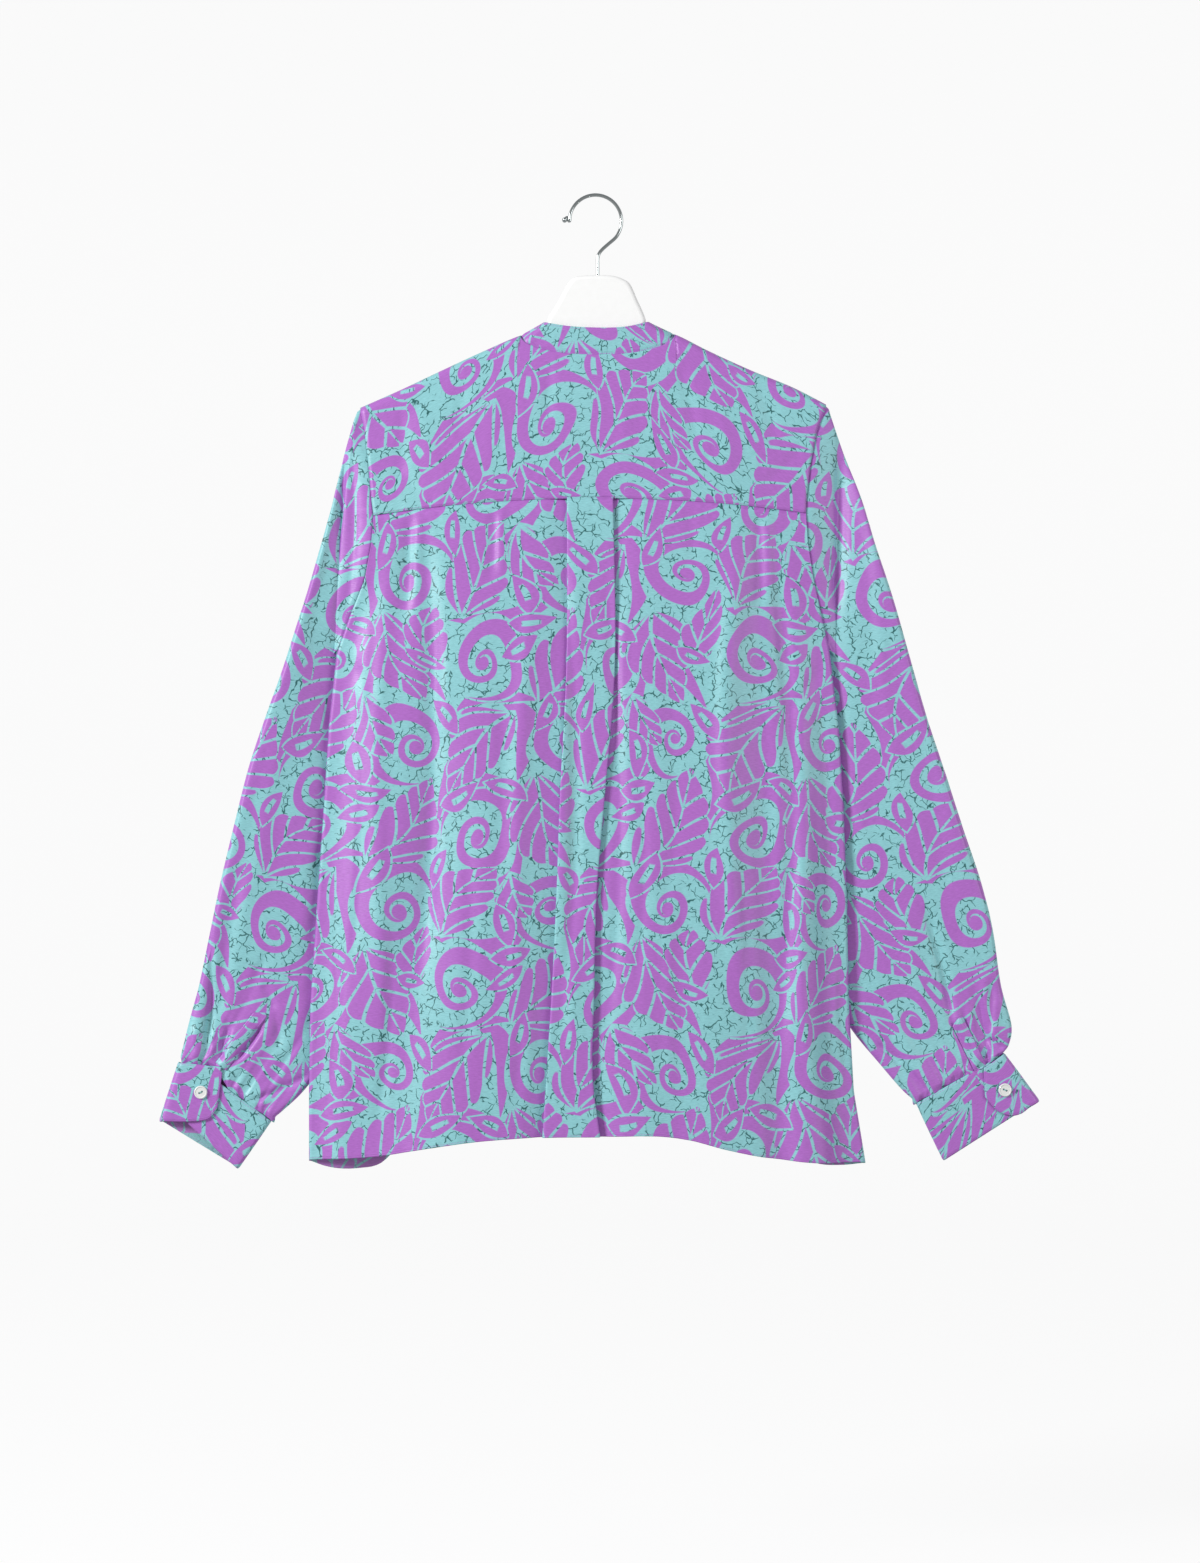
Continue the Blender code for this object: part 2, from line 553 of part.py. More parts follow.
def sleeve_rings(side, table, cuff):
    """All rings of a sleeve. The last one stands just above the cuff."""
    (ox, oz), (ix, iz) = cuff["outer"][0], cuff["inner"][0]
    length = math.hypot(ix - ox, iz - oz)
    up_x, up_z = abs(iz - oz) / length * -side, abs(ix - ox) / length
    up_x, up_z = up_x * ARM_SEAM, up_z * ARM_SEAM
    last = (ox + up_x, oz + up_z, ix + up_x, iz + up_z,
            CUFF_MIDDLE, CUFF_MIDDLE, CUFF_HALF)
    rings = [armhole_ring(side, SLEEVE_STEPS)]
    for row, gather, rise in zip((*table, last), GATHER_FADE, RISE_FADE):
        tuck = TUCK[min(len(rings) - 1, 1)]
        rings.append(sleeve_row(row, side, SLEEVE_STEPS, gather, cuff["rise"], rise, tuck))
    return np.array(rings)


def placket(name, rings, first, last, material):
    """The strip along the cuff opening: the sleeve's own points, moved out toward the view."""
    strip = rings[-PLACKET_ROWS:, first:last + 1].copy()
    strip[:, :, 1] -= CLOTH + SEAM + 0.2
    strip[-1, :, 2] += 0.3
    cloth(name, strip, material)


def cuff_columns(cuff):
    """The columns of a cuff from the end of its tab round to the end of the hidden layer."""
    outer, inner = np.array(cuff["outer"], float), np.array(cuff["inner"], float)
    hidden, tab_top = np.array(cuff["hidden"], float), np.array(cuff["tab_top"], float)
    columns = []
    for f in np.linspace(1, 0.1, 6):
        top = outer[0] + (tab_top - outer[0]) * f
        low = np.array([along(f, cuff["tab_edge"], 1), along(f, cuff["tab_edge"], 2)])
        columns.append((top, low, CUFF_TAB_DEPTH))
    columns += turned(outer, inner, CUFF_TAB_DEPTH, CUFF_FAR_DEPTH)
    across = np.linspace(0.06, 0.95, 6)
    columns += [(*(outer + (inner - outer) * f), CUFF_FAR_DEPTH) for f in across]
    columns += turned(inner, outer, CUFF_FAR_DEPTH, CUFF_HIDDEN_DEPTH)
    for f in np.linspace(0.06, 1, 5):
        columns.append((*(inner + (hidden - inner) * f), CUFF_HIDDEN_DEPTH))
    return columns


def turned(fold, away, start, end):
    """The columns round one fold of a cuff, which reaches just to the fold's line."""
    radius = abs(end - start) / 2
    inward = (away - fold) / np.linalg.norm(away - fold, axis=1)[:, None]
    columns = []
    for angle in (-45, 0, 45):
        a = math.radians(angle)
        place = fold + inward * radius * (1 - math.cos(a))
        columns.append((*place, (start + end) / 2 + (end - start) / 2 * math.sin(a)))
    return columns


def cuff_band(name, cuff, material):
    grid = []
    for top, low, depth in cuff_columns(cuff):
        flat = [top + (low - top) * f for f in (0, 0.33, 0.67, 1)]
        grid.append([(x, depth, z) for x, z in flat])
    cloth(name, np.array(grid).transpose(1, 0, 2), material)


def button(name, x, y, z, material):
    """A round shell button, its flat faces toward the view and away from it."""
    bpy.ops.mesh.primitive_cylinder_add(
        vertices=BUTTON_SIDES, radius=BUTTON_RADIUS * METRES, depth=BUTTON_THICK * METRES,
        location=(x * METRES, y * METRES, z * METRES), rotation=(math.pi / 2, 0, 0),
    )
    obj = bpy.context.object
    obj.name = obj.data.name = name
    obj.data.materials.append(material)
    for holder in list(obj.users_collection):
        holder.objects.unlink(obj)
    bpy.data.collections["blouse_on_hanger"].objects.link(obj)
    rim = obj.modifiers.new("rounded rim", "BEVEL")
    rim.width = BUTTON_RIM * METRES
    rim.segments = 1
    rim.limit_method = "ANGLE"


def hanger_body(material):
    """The hanger as a loft of tall rounded sections, from one arm end to the other."""
    stations = sorted({*np.linspace(-HANGER_END, -94, 7), *np.linspace(94, HANGER_END - 6, 7),
                       *(x for x, _ in HANGER_BLOCK)})
    rings = []
    for x in stations:
        arm_top = along(x, SHOULDER) - HANGER_SINK
        top = arm_top if abs(x) > 85 else straight(x, HANGER_BLOCK)
        height = max(straight(abs(x), ARM_HEIGHTS), 2 * HANGER_HALF + 0.5)
        ring = []
        for angle in range(0, 180, 30):
            a = math.radians(angle - 75)
            ring.append((x, HANGER_HALF * math.sin(a), top - HANGER_HALF * (1 - math.cos(a))))
        for angle in range(0, 180, 30):
            a = math.radians(75 - angle)
            ring.append((x, HANGER_HALF * math.sin(a), top - height + HANGER_HALF * (1 - math.cos(a))))
        rings.append(ring)
    grid = np.array(rings)
    mesh = bpy.data.meshes.new("hanger_body")
    rows, columns = grid.shape[:2]
    faces = grid_faces(rows, columns, True)
    faces += [tuple(range(columns))[::-1], tuple(range((rows - 1) * columns, rows * columns))]
    mesh.from_pydata((grid.reshape(-1, 3) * METRES).tolist(), [], [f[::-1] for f in faces])
    mesh.shade_smooth()
    new_object("hanger_body", mesh, material)


def hook(material):
    """The hook: a wire that rises from the hanger, leans aside and turns over to a small knob."""
    cx, cz = HOOK_CENTRE
    path = [(1, -67.7), (1, -60), (1, -54), (1.8, -50), (4.5, -46), (10, -41), (15.5, -36.3)]
    for angle in range(-30, 181, 15):
        a = math.radians(angle)
        path.append((cx + HOOK_RADIUS * math.cos(a), cz + HOOK_RADIUS * math.sin(a)))
    path += [(-25.2, -18.2), (-27.4, -20.2), (-29.2, -21.6)]
    wire = bpy.data.curves.new("hook", "CURVE")
    wire.dimensions = "3D"
    wire.bevel_depth = WIRE_RADIUS * METRES
    wire.bevel_resolution = 2
    wire.use_fill_caps = True
    spline = wire.splines.new("POLY")
    spline.points.add(len(path) - 1)
    for point, (x, z) in zip(spline.points, path):
        point.co = (x * METRES, 0, z * METRES, 1)
    for point in spline.points[-2:]:
        point.radius = KNOB_RADIUS / WIRE_RADIUS
    obj = bpy.data.objects.new("hook", wire)
    wire.materials.append(material)
    bpy.data.collections["blouse_on_hanger"].objects.link(obj)


def main():
    for obj in list(bpy.data.objects):
        bpy.data.objects.remove(obj)
    bpy.context.scene.collection.children.link(bpy.data.collections.new("blouse_on_hanger"))
    print_cloth = new_material("printed cloth", (0.42, 0.14, 0.55), 0.45)
    plastic = new_material("hanger plastic", (0.86, 0.86, 0.85), 0.4)
    chrome = new_material("hook chrome", (0.8, 0.82, 0.82), 0.15, 1.0)
    shell = new_material("shell button", (0.88, 0.88, 0.86), 0.2)

    back_panel(print_cloth)
    back_yoke(print_cloth)
    front_panel("front_left", -1, print_cloth)
    front_panel("front_right", 1, print_cloth)
    collar_band(print_cloth)
    arms = (("left", -1, LEFT_SLEEVE, LEFT_CUFF, 5, 7), ("right", 1, RIGHT_SLEEVE, RIGHT_CUFF, 2, 4))
    for word, side, table, cuff, first, last in arms:
        rings = sleeve_rings(side, table, cuff)
        cloth("sleeve_" + word, rings, print_cloth, ring=True)
        placket("placket_" + word, rings, first, last, print_cloth)
        cuff_band("cuff_" + word, cuff, print_cloth)
        x, z = CUFF_BUTTONS[word]
        y = CUFF_TAB_DEPTH - CLOTH / 2 - SEAM - BUTTON_THICK / 2
        button("cuff_button_" + word, x, y, z, shell)
    for number, z in enumerate(FRONT_BUTTONS, 1):
        y = RIDGE_RADIUS + LAP_DEPTH + BUTTON_LIFT + CLOTH / 2 + SEAM + BUTTON_THICK / 2
        button(f"front_button_{number}", 0, y, z, shell)
    hanger_body(plastic)
    hook(chrome)


main()
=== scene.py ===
# %% [markdown]
# # A printed satin blouse on a broad hanger
# The blouse hangs flat on a plastic hanger and shows its back: a yoke over the shoulders, a box
# pleat below it, long sleeves gathered into cuffs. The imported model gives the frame. Every piece
# of cloth here is a thin shell on the form of its solid, worked out as a grid of points.

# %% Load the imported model
import math

import bpy
import numpy as np
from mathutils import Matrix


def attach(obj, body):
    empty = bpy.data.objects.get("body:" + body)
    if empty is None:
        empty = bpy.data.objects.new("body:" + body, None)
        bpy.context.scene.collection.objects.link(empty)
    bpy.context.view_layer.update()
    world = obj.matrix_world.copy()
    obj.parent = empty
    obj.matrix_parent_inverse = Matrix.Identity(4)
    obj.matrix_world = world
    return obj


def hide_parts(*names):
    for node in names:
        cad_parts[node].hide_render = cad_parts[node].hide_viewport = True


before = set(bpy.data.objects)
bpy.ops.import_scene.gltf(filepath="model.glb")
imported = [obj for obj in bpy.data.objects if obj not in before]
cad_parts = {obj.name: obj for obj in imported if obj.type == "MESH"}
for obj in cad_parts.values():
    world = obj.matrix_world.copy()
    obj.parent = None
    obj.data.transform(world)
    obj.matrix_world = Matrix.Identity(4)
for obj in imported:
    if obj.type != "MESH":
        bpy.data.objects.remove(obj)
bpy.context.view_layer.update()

MM = 0.001
print("parts in the frame:", len(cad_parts))

# %% [markdown]
# ## Camera
# The photographer stood square to the garment, level with its middle and a few steps away. A long
# lens keeps the sleeves and the hanger at one scale. The frame is 1.344 m high at the garment.

# %% Camera
CAMERA_DISTANCE = 2.6
VIEW_CENTRE = (0.003, -0.503)
VIEW_HEIGHT = 1.344
SENSOR_HEIGHT = 36.0
lens = bpy.data.cameras.new("view")
lens.sensor_fit = "VERTICAL"
lens.sensor_height = SENSOR_HEIGHT
lens.lens = SENSOR_HEIGHT * CAMERA_DISTANCE / VIEW_HEIGHT
camera = bpy.data.objects.new("view", lens)
camera.location = (VIEW_CENTRE[0], -CAMERA_DISTANCE, VIEW_CENTRE[1])
camera.rotation_euler = (math.pi / 2, 0, 0)
bpy.context.scene.collection.objects.link(camera)
bpy.context.scene.camera = camera
print("focal length", round(lens.lens, 1), "mm")

# %% [markdown]
# ## Sizes of the garment
# These are the tailor's numbers, in millimetres: the shoulder line, the side edges, the hem, the
# pleat and the largest folds. The origin is the inside top of the hook, +X is the wearer's right
# and -Y is toward the viewer. They are the driving sizes of the solids too, so each shell lies on
# its solid.

# %% Body sizes
SHELL = 0.5  # thickness of the cloth shell
SEAM = 0.3  # gap between two pieces at a seam
RIDGE_RADIUS = 6.9  # of the cloth over the arm of the hanger
RIDGE_ARC = RIDGE_RADIUS * math.pi / 2
FRONT_YOKE = 28.0  # how far the yoke reaches down the front, along the cloth
FRONT_SEAM_DROP = 2.4 * SEAM
UNDERARM, HEM_LEVEL = -390.0, -830.0
YOKE_SIDE = -276.0  # height of the yoke seam at the armhole
YOKE_MIDDLE, YOKE_SAG, YOKE_HALF = -261, 13, 185
# left side, -1, and right side, 1: the yoke's columns that end on a front seam run from these
# places on the back seam to these on the front seam, at the armhole and nearest the neck
BACK_SEAM_ENDS = {-1: (-191, -80), 1: (179.5, 80)}
FRONT_SEAM_ENDS = {-1: (-200, -62), 1: (193, 64)}
SIDE_RADIUS, BACK_GROW, BACK_FLARE = 2.5, 9.0, 7.0
LAP, LAP_DEPTH, LAP_FROM, LAP_RAMP = 12.0, 1.9, 34, 20

# place across, height
SHOULDER = (
    (-203, -182), (-167, -166), (-131, -149), (-94, -132), (-66, -120),
    (68, -119), (94, -132), (131, -149), (172, -166), (197, -179),
)
# height, left edge, right edge
BODY_EDGES = (
    (-182, -203, 197), (-203, -199, 189), (-228, -196, 184), (-261, -193, 180), (-276, -191, 179.5),
    (-300, -193, 181), (-330, -199, 186), (-360, -212, 193), (-390, -223, 200), (-455, -230, 208),
    (-519, -234, 212), (-605, -240, 215), (-698, -246, 217), (-769, -247, 221), (-830, -247, 231),
)
# place across, height
BACK_HEM = (
    (-247, -828), (-182, -823), (-155, -818), (-111, -811), (-60, -807), (3, -806),
    (61, -806), (81, -809), (111, -817), (139, -823), (190, -829), (231, -830),
)
FRONT_HEM = (
    (-247, -829), (-233, -834), (-205, -836), (-186, -832), (-168, -815), (-140, -800),
    (0, -796), (140, -802), (168, -822), (190, -832), (212, -833), (231, -831),
)
# height, left fold, right fold, width folded under, step between layers
BOX_PLEAT = (
    (-265, -25, 14, 11, 1.8), (-424, -26, 15, 10, 2.0), (-519, -31, 7, 9, 2.2),
    (-605, -34, 0, 8, 2.5), (-691, -38, -2, 7, 2.8), (-777, -43, -3, 6, 3.0), (-830, -46, 3, 6, 3.2),
)
PLEAT_SETTLE = 20.0
# place at the yoke, half way, at the hem, half width, how far it stands out
BACK_FOLDS = (
    (-192, -206, -228, 16, 3.0), (-162, -143, -184, 26, -7.0), (-104, -96, -118, 30, 4.0),
    (-58, -62, -80, 18, 2.0), (48, 46, 40, 26, 4.0), (98, 96, 96, 24, 3.0),
    (136, 145, 158, 13, -7.0), (163, 176, 192, 17, 5.0),
)
FRONT_FOLDS = ((120, 128, 140, 20, -1.6), (70, 74, 80, 22, 1.0), (160, 168, 185, 18, 0.8))
print("body", BODY_EDGES[-1][2] - BODY_EDGES[-1][1], "mm wide at the hem")

# %% [markdown]
# ## Reading a table
# A table of a few sizes becomes a smooth line: between two rows the value follows a cubic whose
# slopes come from the neighbouring rows. Edges that two pieces share are read along straight
# lines, so that both pieces meet there. A curve object could hold each line, but a function can be
# asked for a value anywhere, by every piece that shares the line.

# %% Curves through tables
def along(place, table, column=1):
    """Cubic through one column: value and slope of both neighbours, blended over the step."""
    rows = np.array(sorted(table), float)
    at, value = rows[:, 0], rows[:, column]
    slope = np.gradient(value, at)
    place = np.clip(place, at[0], at[-1])
    i = np.clip(np.searchsorted(at, place, side="right") - 1, 0, len(at) - 2)
    step = at[i + 1] - at[i]
    f = (place - at[i]) / step
    g = 1 - f
    rise = step * f * g * (slope[i] * g - slope[i + 1] * f)
    return value[i] * g * g * (1 + 2 * f) + value[i + 1] * f * f * (3 - 2 * f) + rise


def straight(place, table, column=1):
    """Straight lines between the rows of one column."""
    rows = np.array(sorted(table), float)
    return np.interp(place, rows[:, 0], rows[:, column])


def side_edge(z, side):
    """Place across of the body's left edge, side -1, or right edge, side 1, at a height."""
    return straight(z, BODY_EDGES, 1 if side < 0 else 2)


def ease(f):
    """0 to 1 as 3f^2 - 2f^3, which starts and ends softly."""
    f = np.clip(f, 0, 1)
    return f * f * (3 - 2 * f)


def quarter(distance, radius):
    """Height of a quarter circle, a distance in from where it starts."""
    inside = radius - np.clip(distance, 0, radius)
    return np.sqrt(np.maximum(radius**2 - inside**2, 0))


print("shoulder at the neck", round(float(along(66.0, SHOULDER)), 1), "mm")

# %% [markdown]
# ## The form that the cloth hangs in
# The back and the fronts meet at the side seams and part over the arm of the hanger. Each is a
# depth above the middle plane: a quarter circle over the shoulder, a soft edge at the side, and
# the sum of the large folds, which grow toward the hem because nothing holds the cloth there. A
# cloth simulation could hang the blouse, but it would find folds of its own. A formula puts each
# fold where the photograph has it, and the solids follow the same one.

# %% Body form
def yoke_seam(x):
    """A shallow parabola, lower at the armholes than in the middle."""
    return YOKE_MIDDLE - YOKE_SAG * ((x - 1) / YOKE_HALF) ** 2


def front_seam(x):
    """Height of the fronts' top edge under the yoke, a distance over the shoulder."""
    return along(x, SHOULDER) - FRONT_YOKE + RIDGE_ARC - RIDGE_RADIUS - FRONT_SEAM_DROP


def seam_place(f, ends):
    """Place across on a seam: armhole + f * (neck - armhole)."""
    armhole, neck = ends
    return armhole + (neck - armhole) * f


def fold_depth(x, z, folds):
    """Sum of Gaussian ridges whose centres drift between three places down the panel."""
    t = np.clip((z - yoke_seam(x)) / (HEM_LEVEL - yoke_seam(x)), 0, 1)
    total = 0.0
    for top, middle, hem, width, rise in folds:
        centre = np.where(t < 0.5, top + (middle - top) * 2 * t, middle + (hem - middle) * (2 * t - 1))
        total = total + rise * (0.15 + 0.85 * ease(1.6 * t)) * np.exp(-(((x - centre) / width) ** 2))
    return total * ease(8 * t)


ARMHOLE_CLOSING, HANG_LENGTH, FLARE_FROM = 95, 90, -270
EDGE_SHARE, CROWN_REACH, FOLD_FREE, FOLD_FADE = 0.3, 75, 4, 30


def half_depth(x, z, grow, flare, folds):
    """Depth of a panel: shoulder curve times (edge + soft side + body + folds)."""
    below = along(x, SHOULDER) - z
    left, right = side_edge(z, -1), side_edge(z, 1)
    inset = np.maximum(np.minimum(x - left, right - x), 0)
    open_part = ease((z - UNDERARM) / ARMHOLE_CLOSING)
    hang = 1 - np.exp(-np.maximum(below - RIDGE_RADIUS, 0) / HANG_LENGTH)
    flared = np.clip((z - FLARE_FROM) / (HEM_LEVEL - FLARE_FROM), 0, 1)
    full = RIDGE_RADIUS + grow * hang + flare * flared
    edge = (RIDGE_RADIUS + EDGE_SHARE * grow * hang) * open_part
    closing = (1 - open_part) * quarter(inset, SIDE_RADIUS)
    inner = full - edge - (1 - open_part) * SIDE_RADIUS
    folded_out = fold_depth(x, z, folds) * ease((inset - FOLD_FREE) / FOLD_FADE)
    body = edge + closing + inner * ease(inset / CROWN_REACH) + folded_out
    return body * quarter(below, RIDGE_RADIUS) / RIDGE_RADIUS


def back_y(x, z):
    """The back lies toward the viewer, so its depth is negative."""
    return -half_depth(x, z, BACK_GROW, BACK_FLARE, BACK_FOLDS)


def front_y(x, z):
    """The front's folds are mirrored about the middle."""
    both = tuple((s * a, s * b, s * c, w, r) for a, b, c, w, r in FRONT_FOLDS for s in (-1, 1))
    return half_depth(x, z, 0.0, 0.0, both)


def over_shoulder(x, s):
    """Point at a distance s along the cloth from the shoulder line, front side positive."""
    angle = np.clip(s / RIDGE_RADIUS, -math.pi / 2, math.pi / 2)
    fall = RIDGE_RADIUS * (1 - np.cos(angle)) + np.maximum(np.abs(s) - RIDGE_ARC, 0)
    z = along(x, SHOULDER) - fall
    hanging = np.where(s < 0, back_y(x, z), front_y(x, z))
    y = np.where(np.abs(s) < RIDGE_ARC, RIDGE_RADIUS * np.sin(angle), hanging)
    return np.stack(np.broadcast_arrays(x, y, z), axis=-1)


print("back stands out", round(-float(back_y(50.0, -700.0)), 1), "mm at the middle of the panel")

# %% [markdown]
# ## From a grid to a piece of cloth
# A sheet is a grid of points. Its UV map holds the flat cloth's own coordinates in metres, so the
# print runs on over folds as it does on real cloth. A second attribute holds the distance to the
# nearest stitched edge. Solidify gives the shell its thickness, with a second material inside. The
# sheets could be cut from planes and shaped by hand; as arrays they can be made denser or changed
# in one place, and the flat size comes with them.

# %% Grid helpers
def resample(grid, count, axis, ring=False):
    """Catmull-Rom spline through the points of a grid along one axis, at count even places."""
    p = np.moveaxis(np.asarray(grid, float), axis, 0)
    n = len(p)
    t = np.linspace(0, n, count, endpoint=False) if ring else np.linspace(0, n - 1, count)
    i = np.floor(t).astype(int) if ring else np.minimum(np.floor(t).astype(int), n - 2)
    f = (t - i).reshape(-1, *[1] * (p.ndim - 1))
    if ring:
        a, b, c, d = (p[(i + k) % n] for k in (-1, 0, 1, 2))
    else:
        p = np.concatenate([2 * p[:1] - p[1:2], p, 2 * p[-1:] - p[-2:-1]])
        a, b, c, d = (p[i + k] for k in (0, 1, 2, 3))
    curve = b + 0.5 * f * (c - a + f * (2 * a - 5 * b + 4 * c - d + f * (3 * (b - c) + d - a)))
    return np.moveaxis(curve, 0, axis)


def run_length(grid, axis):
    """Distance run along the grid lines from their start: the sum of the step lengths."""
    step = np.linalg.norm(np.diff(grid, axis=axis), axis=-1)
    start = np.zeros_like(np.take(step, [0], axis=axis))
    return np.concatenate([start, np.cumsum(step, axis=axis)], axis=axis)


def area_normal(grid, ring=False):
    """Cross product of the two grid directions at each grid point."""
    across = np.gradient(grid, axis=1)
    if ring:
        across = (np.roll(grid, -1, axis=1) - np.roll(grid, 1, axis=1)) / 2
    return np.cross(np.gradient(grid, axis=0), across)


def looks_out(grid, ring=False, facing=None):
    """Above 0 where the grid's own normals look along facing, or away from the middle of a tube."""
    away = grid - grid.mean(axis=(0, 1)) if facing is None else np.array(facing, float)
    return float(np.sum(area_normal(grid, ring) * away))


def outward(grid, ring=False, facing=None):
    """Unit normals on the outside of the sheet."""
    normal = area_normal(grid, ring) * np.sign(looks_out(grid, ring, facing))
    return normal / np.maximum(np.linalg.norm(normal, axis=-1, keepdims=True), 1e-9)


def quads(rows, columns, ring):
    """Corner numbers of the grid's quads, joined round if it is a ring."""
    r, c = np.meshgrid(np.arange(rows - 1), np.arange(columns if ring else columns - 1), indexing="ij")
    d = (c + 1) % columns
    corners = np.stack([r * columns + c, r * columns + d, (r + 1) * columns + d, (r + 1) * columns + c], -1)
    return corners.reshape(-1, 4)


print("quads of a small sheet:", len(quads(3, 4, False)))

# %% A mesh from arrays
def mesh_of(name, grid, ring=False, uv=None, edge=None, facing=None):
    """Grid in millimetres to a smooth mesh in metres; uv has one more column on a ring.

    Faces look along facing where it is given, and away from the middle of a tube where it isn't.
    """
    rows, columns = grid.shape[:2]
    faces = quads(rows, columns, ring)
    wide = columns + 1 if ring else columns
    r, c = np.divmod(np.arange(len(faces)), columns if ring else columns - 1)
    places = np.stack([r * wide + c, r * wide + c + 1, (r + 1) * wide + c + 1, (r + 1) * wide + c], -1)
    if looks_out(grid, ring, facing) > 0:
        faces, places = faces[:, ::-1], places[:, ::-1]
    mesh = bpy.data.meshes.new(name)
    mesh.vertices.add(rows * columns)
    mesh.vertices.foreach_set("co", (grid.reshape(-1, 3) * MM).ravel().astype(np.float32))
    mesh.loops.add(faces.size)
    mesh.loops.foreach_set("vertex_index", faces.ravel().astype(np.int32))
    mesh.polygons.add(len(faces))
    mesh.polygons.foreach_set("loop_start", np.arange(0, faces.size, 4, dtype=np.int32))
    if uv is not None:
        flat = (uv.reshape(-1, 2)[places.ravel()] * MM).astype(np.float32)
        mesh.uv_layers.new(name="cloth").data.foreach_set("uv", flat.ravel())
    if edge is not None:
        layer = mesh.attributes.new("edge", "FLOAT", "POINT")
        layer.data.foreach_set("value", (edge.ravel() * MM).astype(np.float32))
    mesh.update(calc_edges=True)
    mesh.shade_smooth()
    return mesh


def place(name, mesh, slot, *nodes):
    """The mesh becomes a piece that stands for its solids and rides on the one body."""
    piece = bpy.data.objects.new(name, mesh)
    bpy.context.scene.collection.objects.link(piece)
    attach(piece, "root")
    if nodes:
        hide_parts(*nodes)
    return piece


CLOTH_PIECES = []
# across and up, in millimetres: how far the print is moved on each kind of piece
PRINT_START = {
    "back": (-5, 0), "yoke": (-5, 0), "front": (31, 40), "collar": (21, 60), "placket": (61, -20),
    "cuff": (12, -130),
}


def cloth(name, grid, uv, edge, node, ring=False, facing=None):
    """A sheet of the printed cloth with its thickness, in place of one solid."""
    piece = place(name, mesh_of(name, grid, ring, uv, edge, facing), "printed_cloth", node)
    wall = piece.modifiers.new("cloth", "SOLIDIFY")
    wall.thickness = SHELL * MM
    wall.offset = 0
    wall.material_offset = 1
    CLOTH_PIECES.append(piece)
    size = grid.reshape(-1, 3)
    print(name, grid.shape[:2], "mm:", np.round(size.max(0) - size.min(0)).astype(int))


# %% [markdown]
# ## Creases
# Worn and washed satin keeps soft marks of folding and hanging. Each is a short straight trough or
# ridge: it rises in the middle of its run and fades at both ends. Their lengths,
# depths and spacing are uneven, as they are on cloth. They could be sculpted, or painted as bump.
# In the mesh they also bend the edges and the print, and a row of numbers is easy to move.

# %% Creases
def creases(x, z, table):
    """Sum over the rows of height * exp(-(distance across / width)^2) * fade along the run."""
    total = np.zeros(np.broadcast(x, z).shape)
    for x0, z0, x1, z1, width, height in table:
        length = math.hypot(x1 - x0, z1 - z0)
        ux, uz = (x1 - x0) / length, (z1 - z0) / length
        run = ((x - x0) * ux + (z - z0) * uz) / length
        across = (x - x0) * uz - (z - z0) * ux
        bow = 0.03 * length * np.sin(np.pi * np.clip(run, 0, 1)) * np.sign(height)
        fade = ease(run * 4) * ease((1 - run) * 4)
        total = total + height * np.exp(-(((across - bow) / width) ** 2)) * fade
    return total


BACK_CREASE_SCALE, YOKE_CREASE_SCALE, FAR_WALL_SCALE, FINE_GATHER_SCALE = 1.45, 1.3, 0.65, 1.3
HIDE = 3.0  # width of the strip of an edge that dips under the next piece


def pucker(run, distance, reach=11.0, height=0.35):
    """Small waves that the thread draws up beside a seam: sines of unequal length, fading away."""
    waves = np.sin(run / 2.1) + 0.7 * np.sin(run / 3.7 + 1.3) + 0.5 * np.sin(run / 1.37 + 0.4)
    return height * waves / 2.2 * np.exp(-distance / reach)


# start across and up, end across and up, half width, height: below 0 is a trough
BACK_CREASES = (
    (-162, -268, -166, -372, 6, -1.6), (-150, -270, -152, -352, 5, 1.2), (-89, -266, -92, -338, 5, -1.1),
    (-81, -266, -80, -330, 4, 0.9), (136, -268, 139, -365, 5, -1.6), (147, -270, 151, -350, 5, 1.1),
    (78, -266, 82, -322, 5, -0.6), (-190, -330, -200, -560, 7, 1.3), (-205, -420, -214, -690, 5, -1.0),
    (-128, -380, -131, -620, 8, 1.0), (-112, -520, -119, -780, 6, -0.9), (-84, -400, -88, -610, 6, -0.7),
    (-66, -560, -72, -800, 5, -0.9), (28, -330, 26, -520, 5, 0.8), (36, -470, 31, -700, 4, -0.9),
    (58, -380, 60, -640, 6, -0.6), (70, -560, 66, -790, 5, 0.8), (112, -350, 115, -560, 6, 0.8),
    (118, -540, 126, -770, 5, -0.8), (186, -400, 198, -640, 5, -0.9), (176, -560, 190, -800, 5, 0.9),
    (-176, -620, -190, -810, 5, -1.2), (205, -640, 216, -800, 4, 0.8), (-224, -600, -232, -800, 4, -0.8),
    (-40, -640, -34, -690, 6, -0.5), (90, -700, 128, -742, 5, -0.4), (-150, -455, -118, -492, 6, -0.4),
    (20, -585, 52, -612, 5, -0.4), (140, -505, 172, -540, 5, -0.4), (-214, -398, -176, -455, 5, -0.7),
    (196, -398, 160, -450, 5, -0.7), (-171, -262, -178, -740, 9, 2.0), (-150, -262, -154, -700, 8, -3.0),
    (124, -262, 128, -720, 10, 2.4), (149, -262, 155, -760, 8, -3.6), (-50, -300, -54, -800, 8, 1.5),
    (-32, -270, -34, -760, 6, -1.8), (-12, -270, -14, -780, 8, 1.4), (6, -300, 6, -760, 5, -1.6),
)
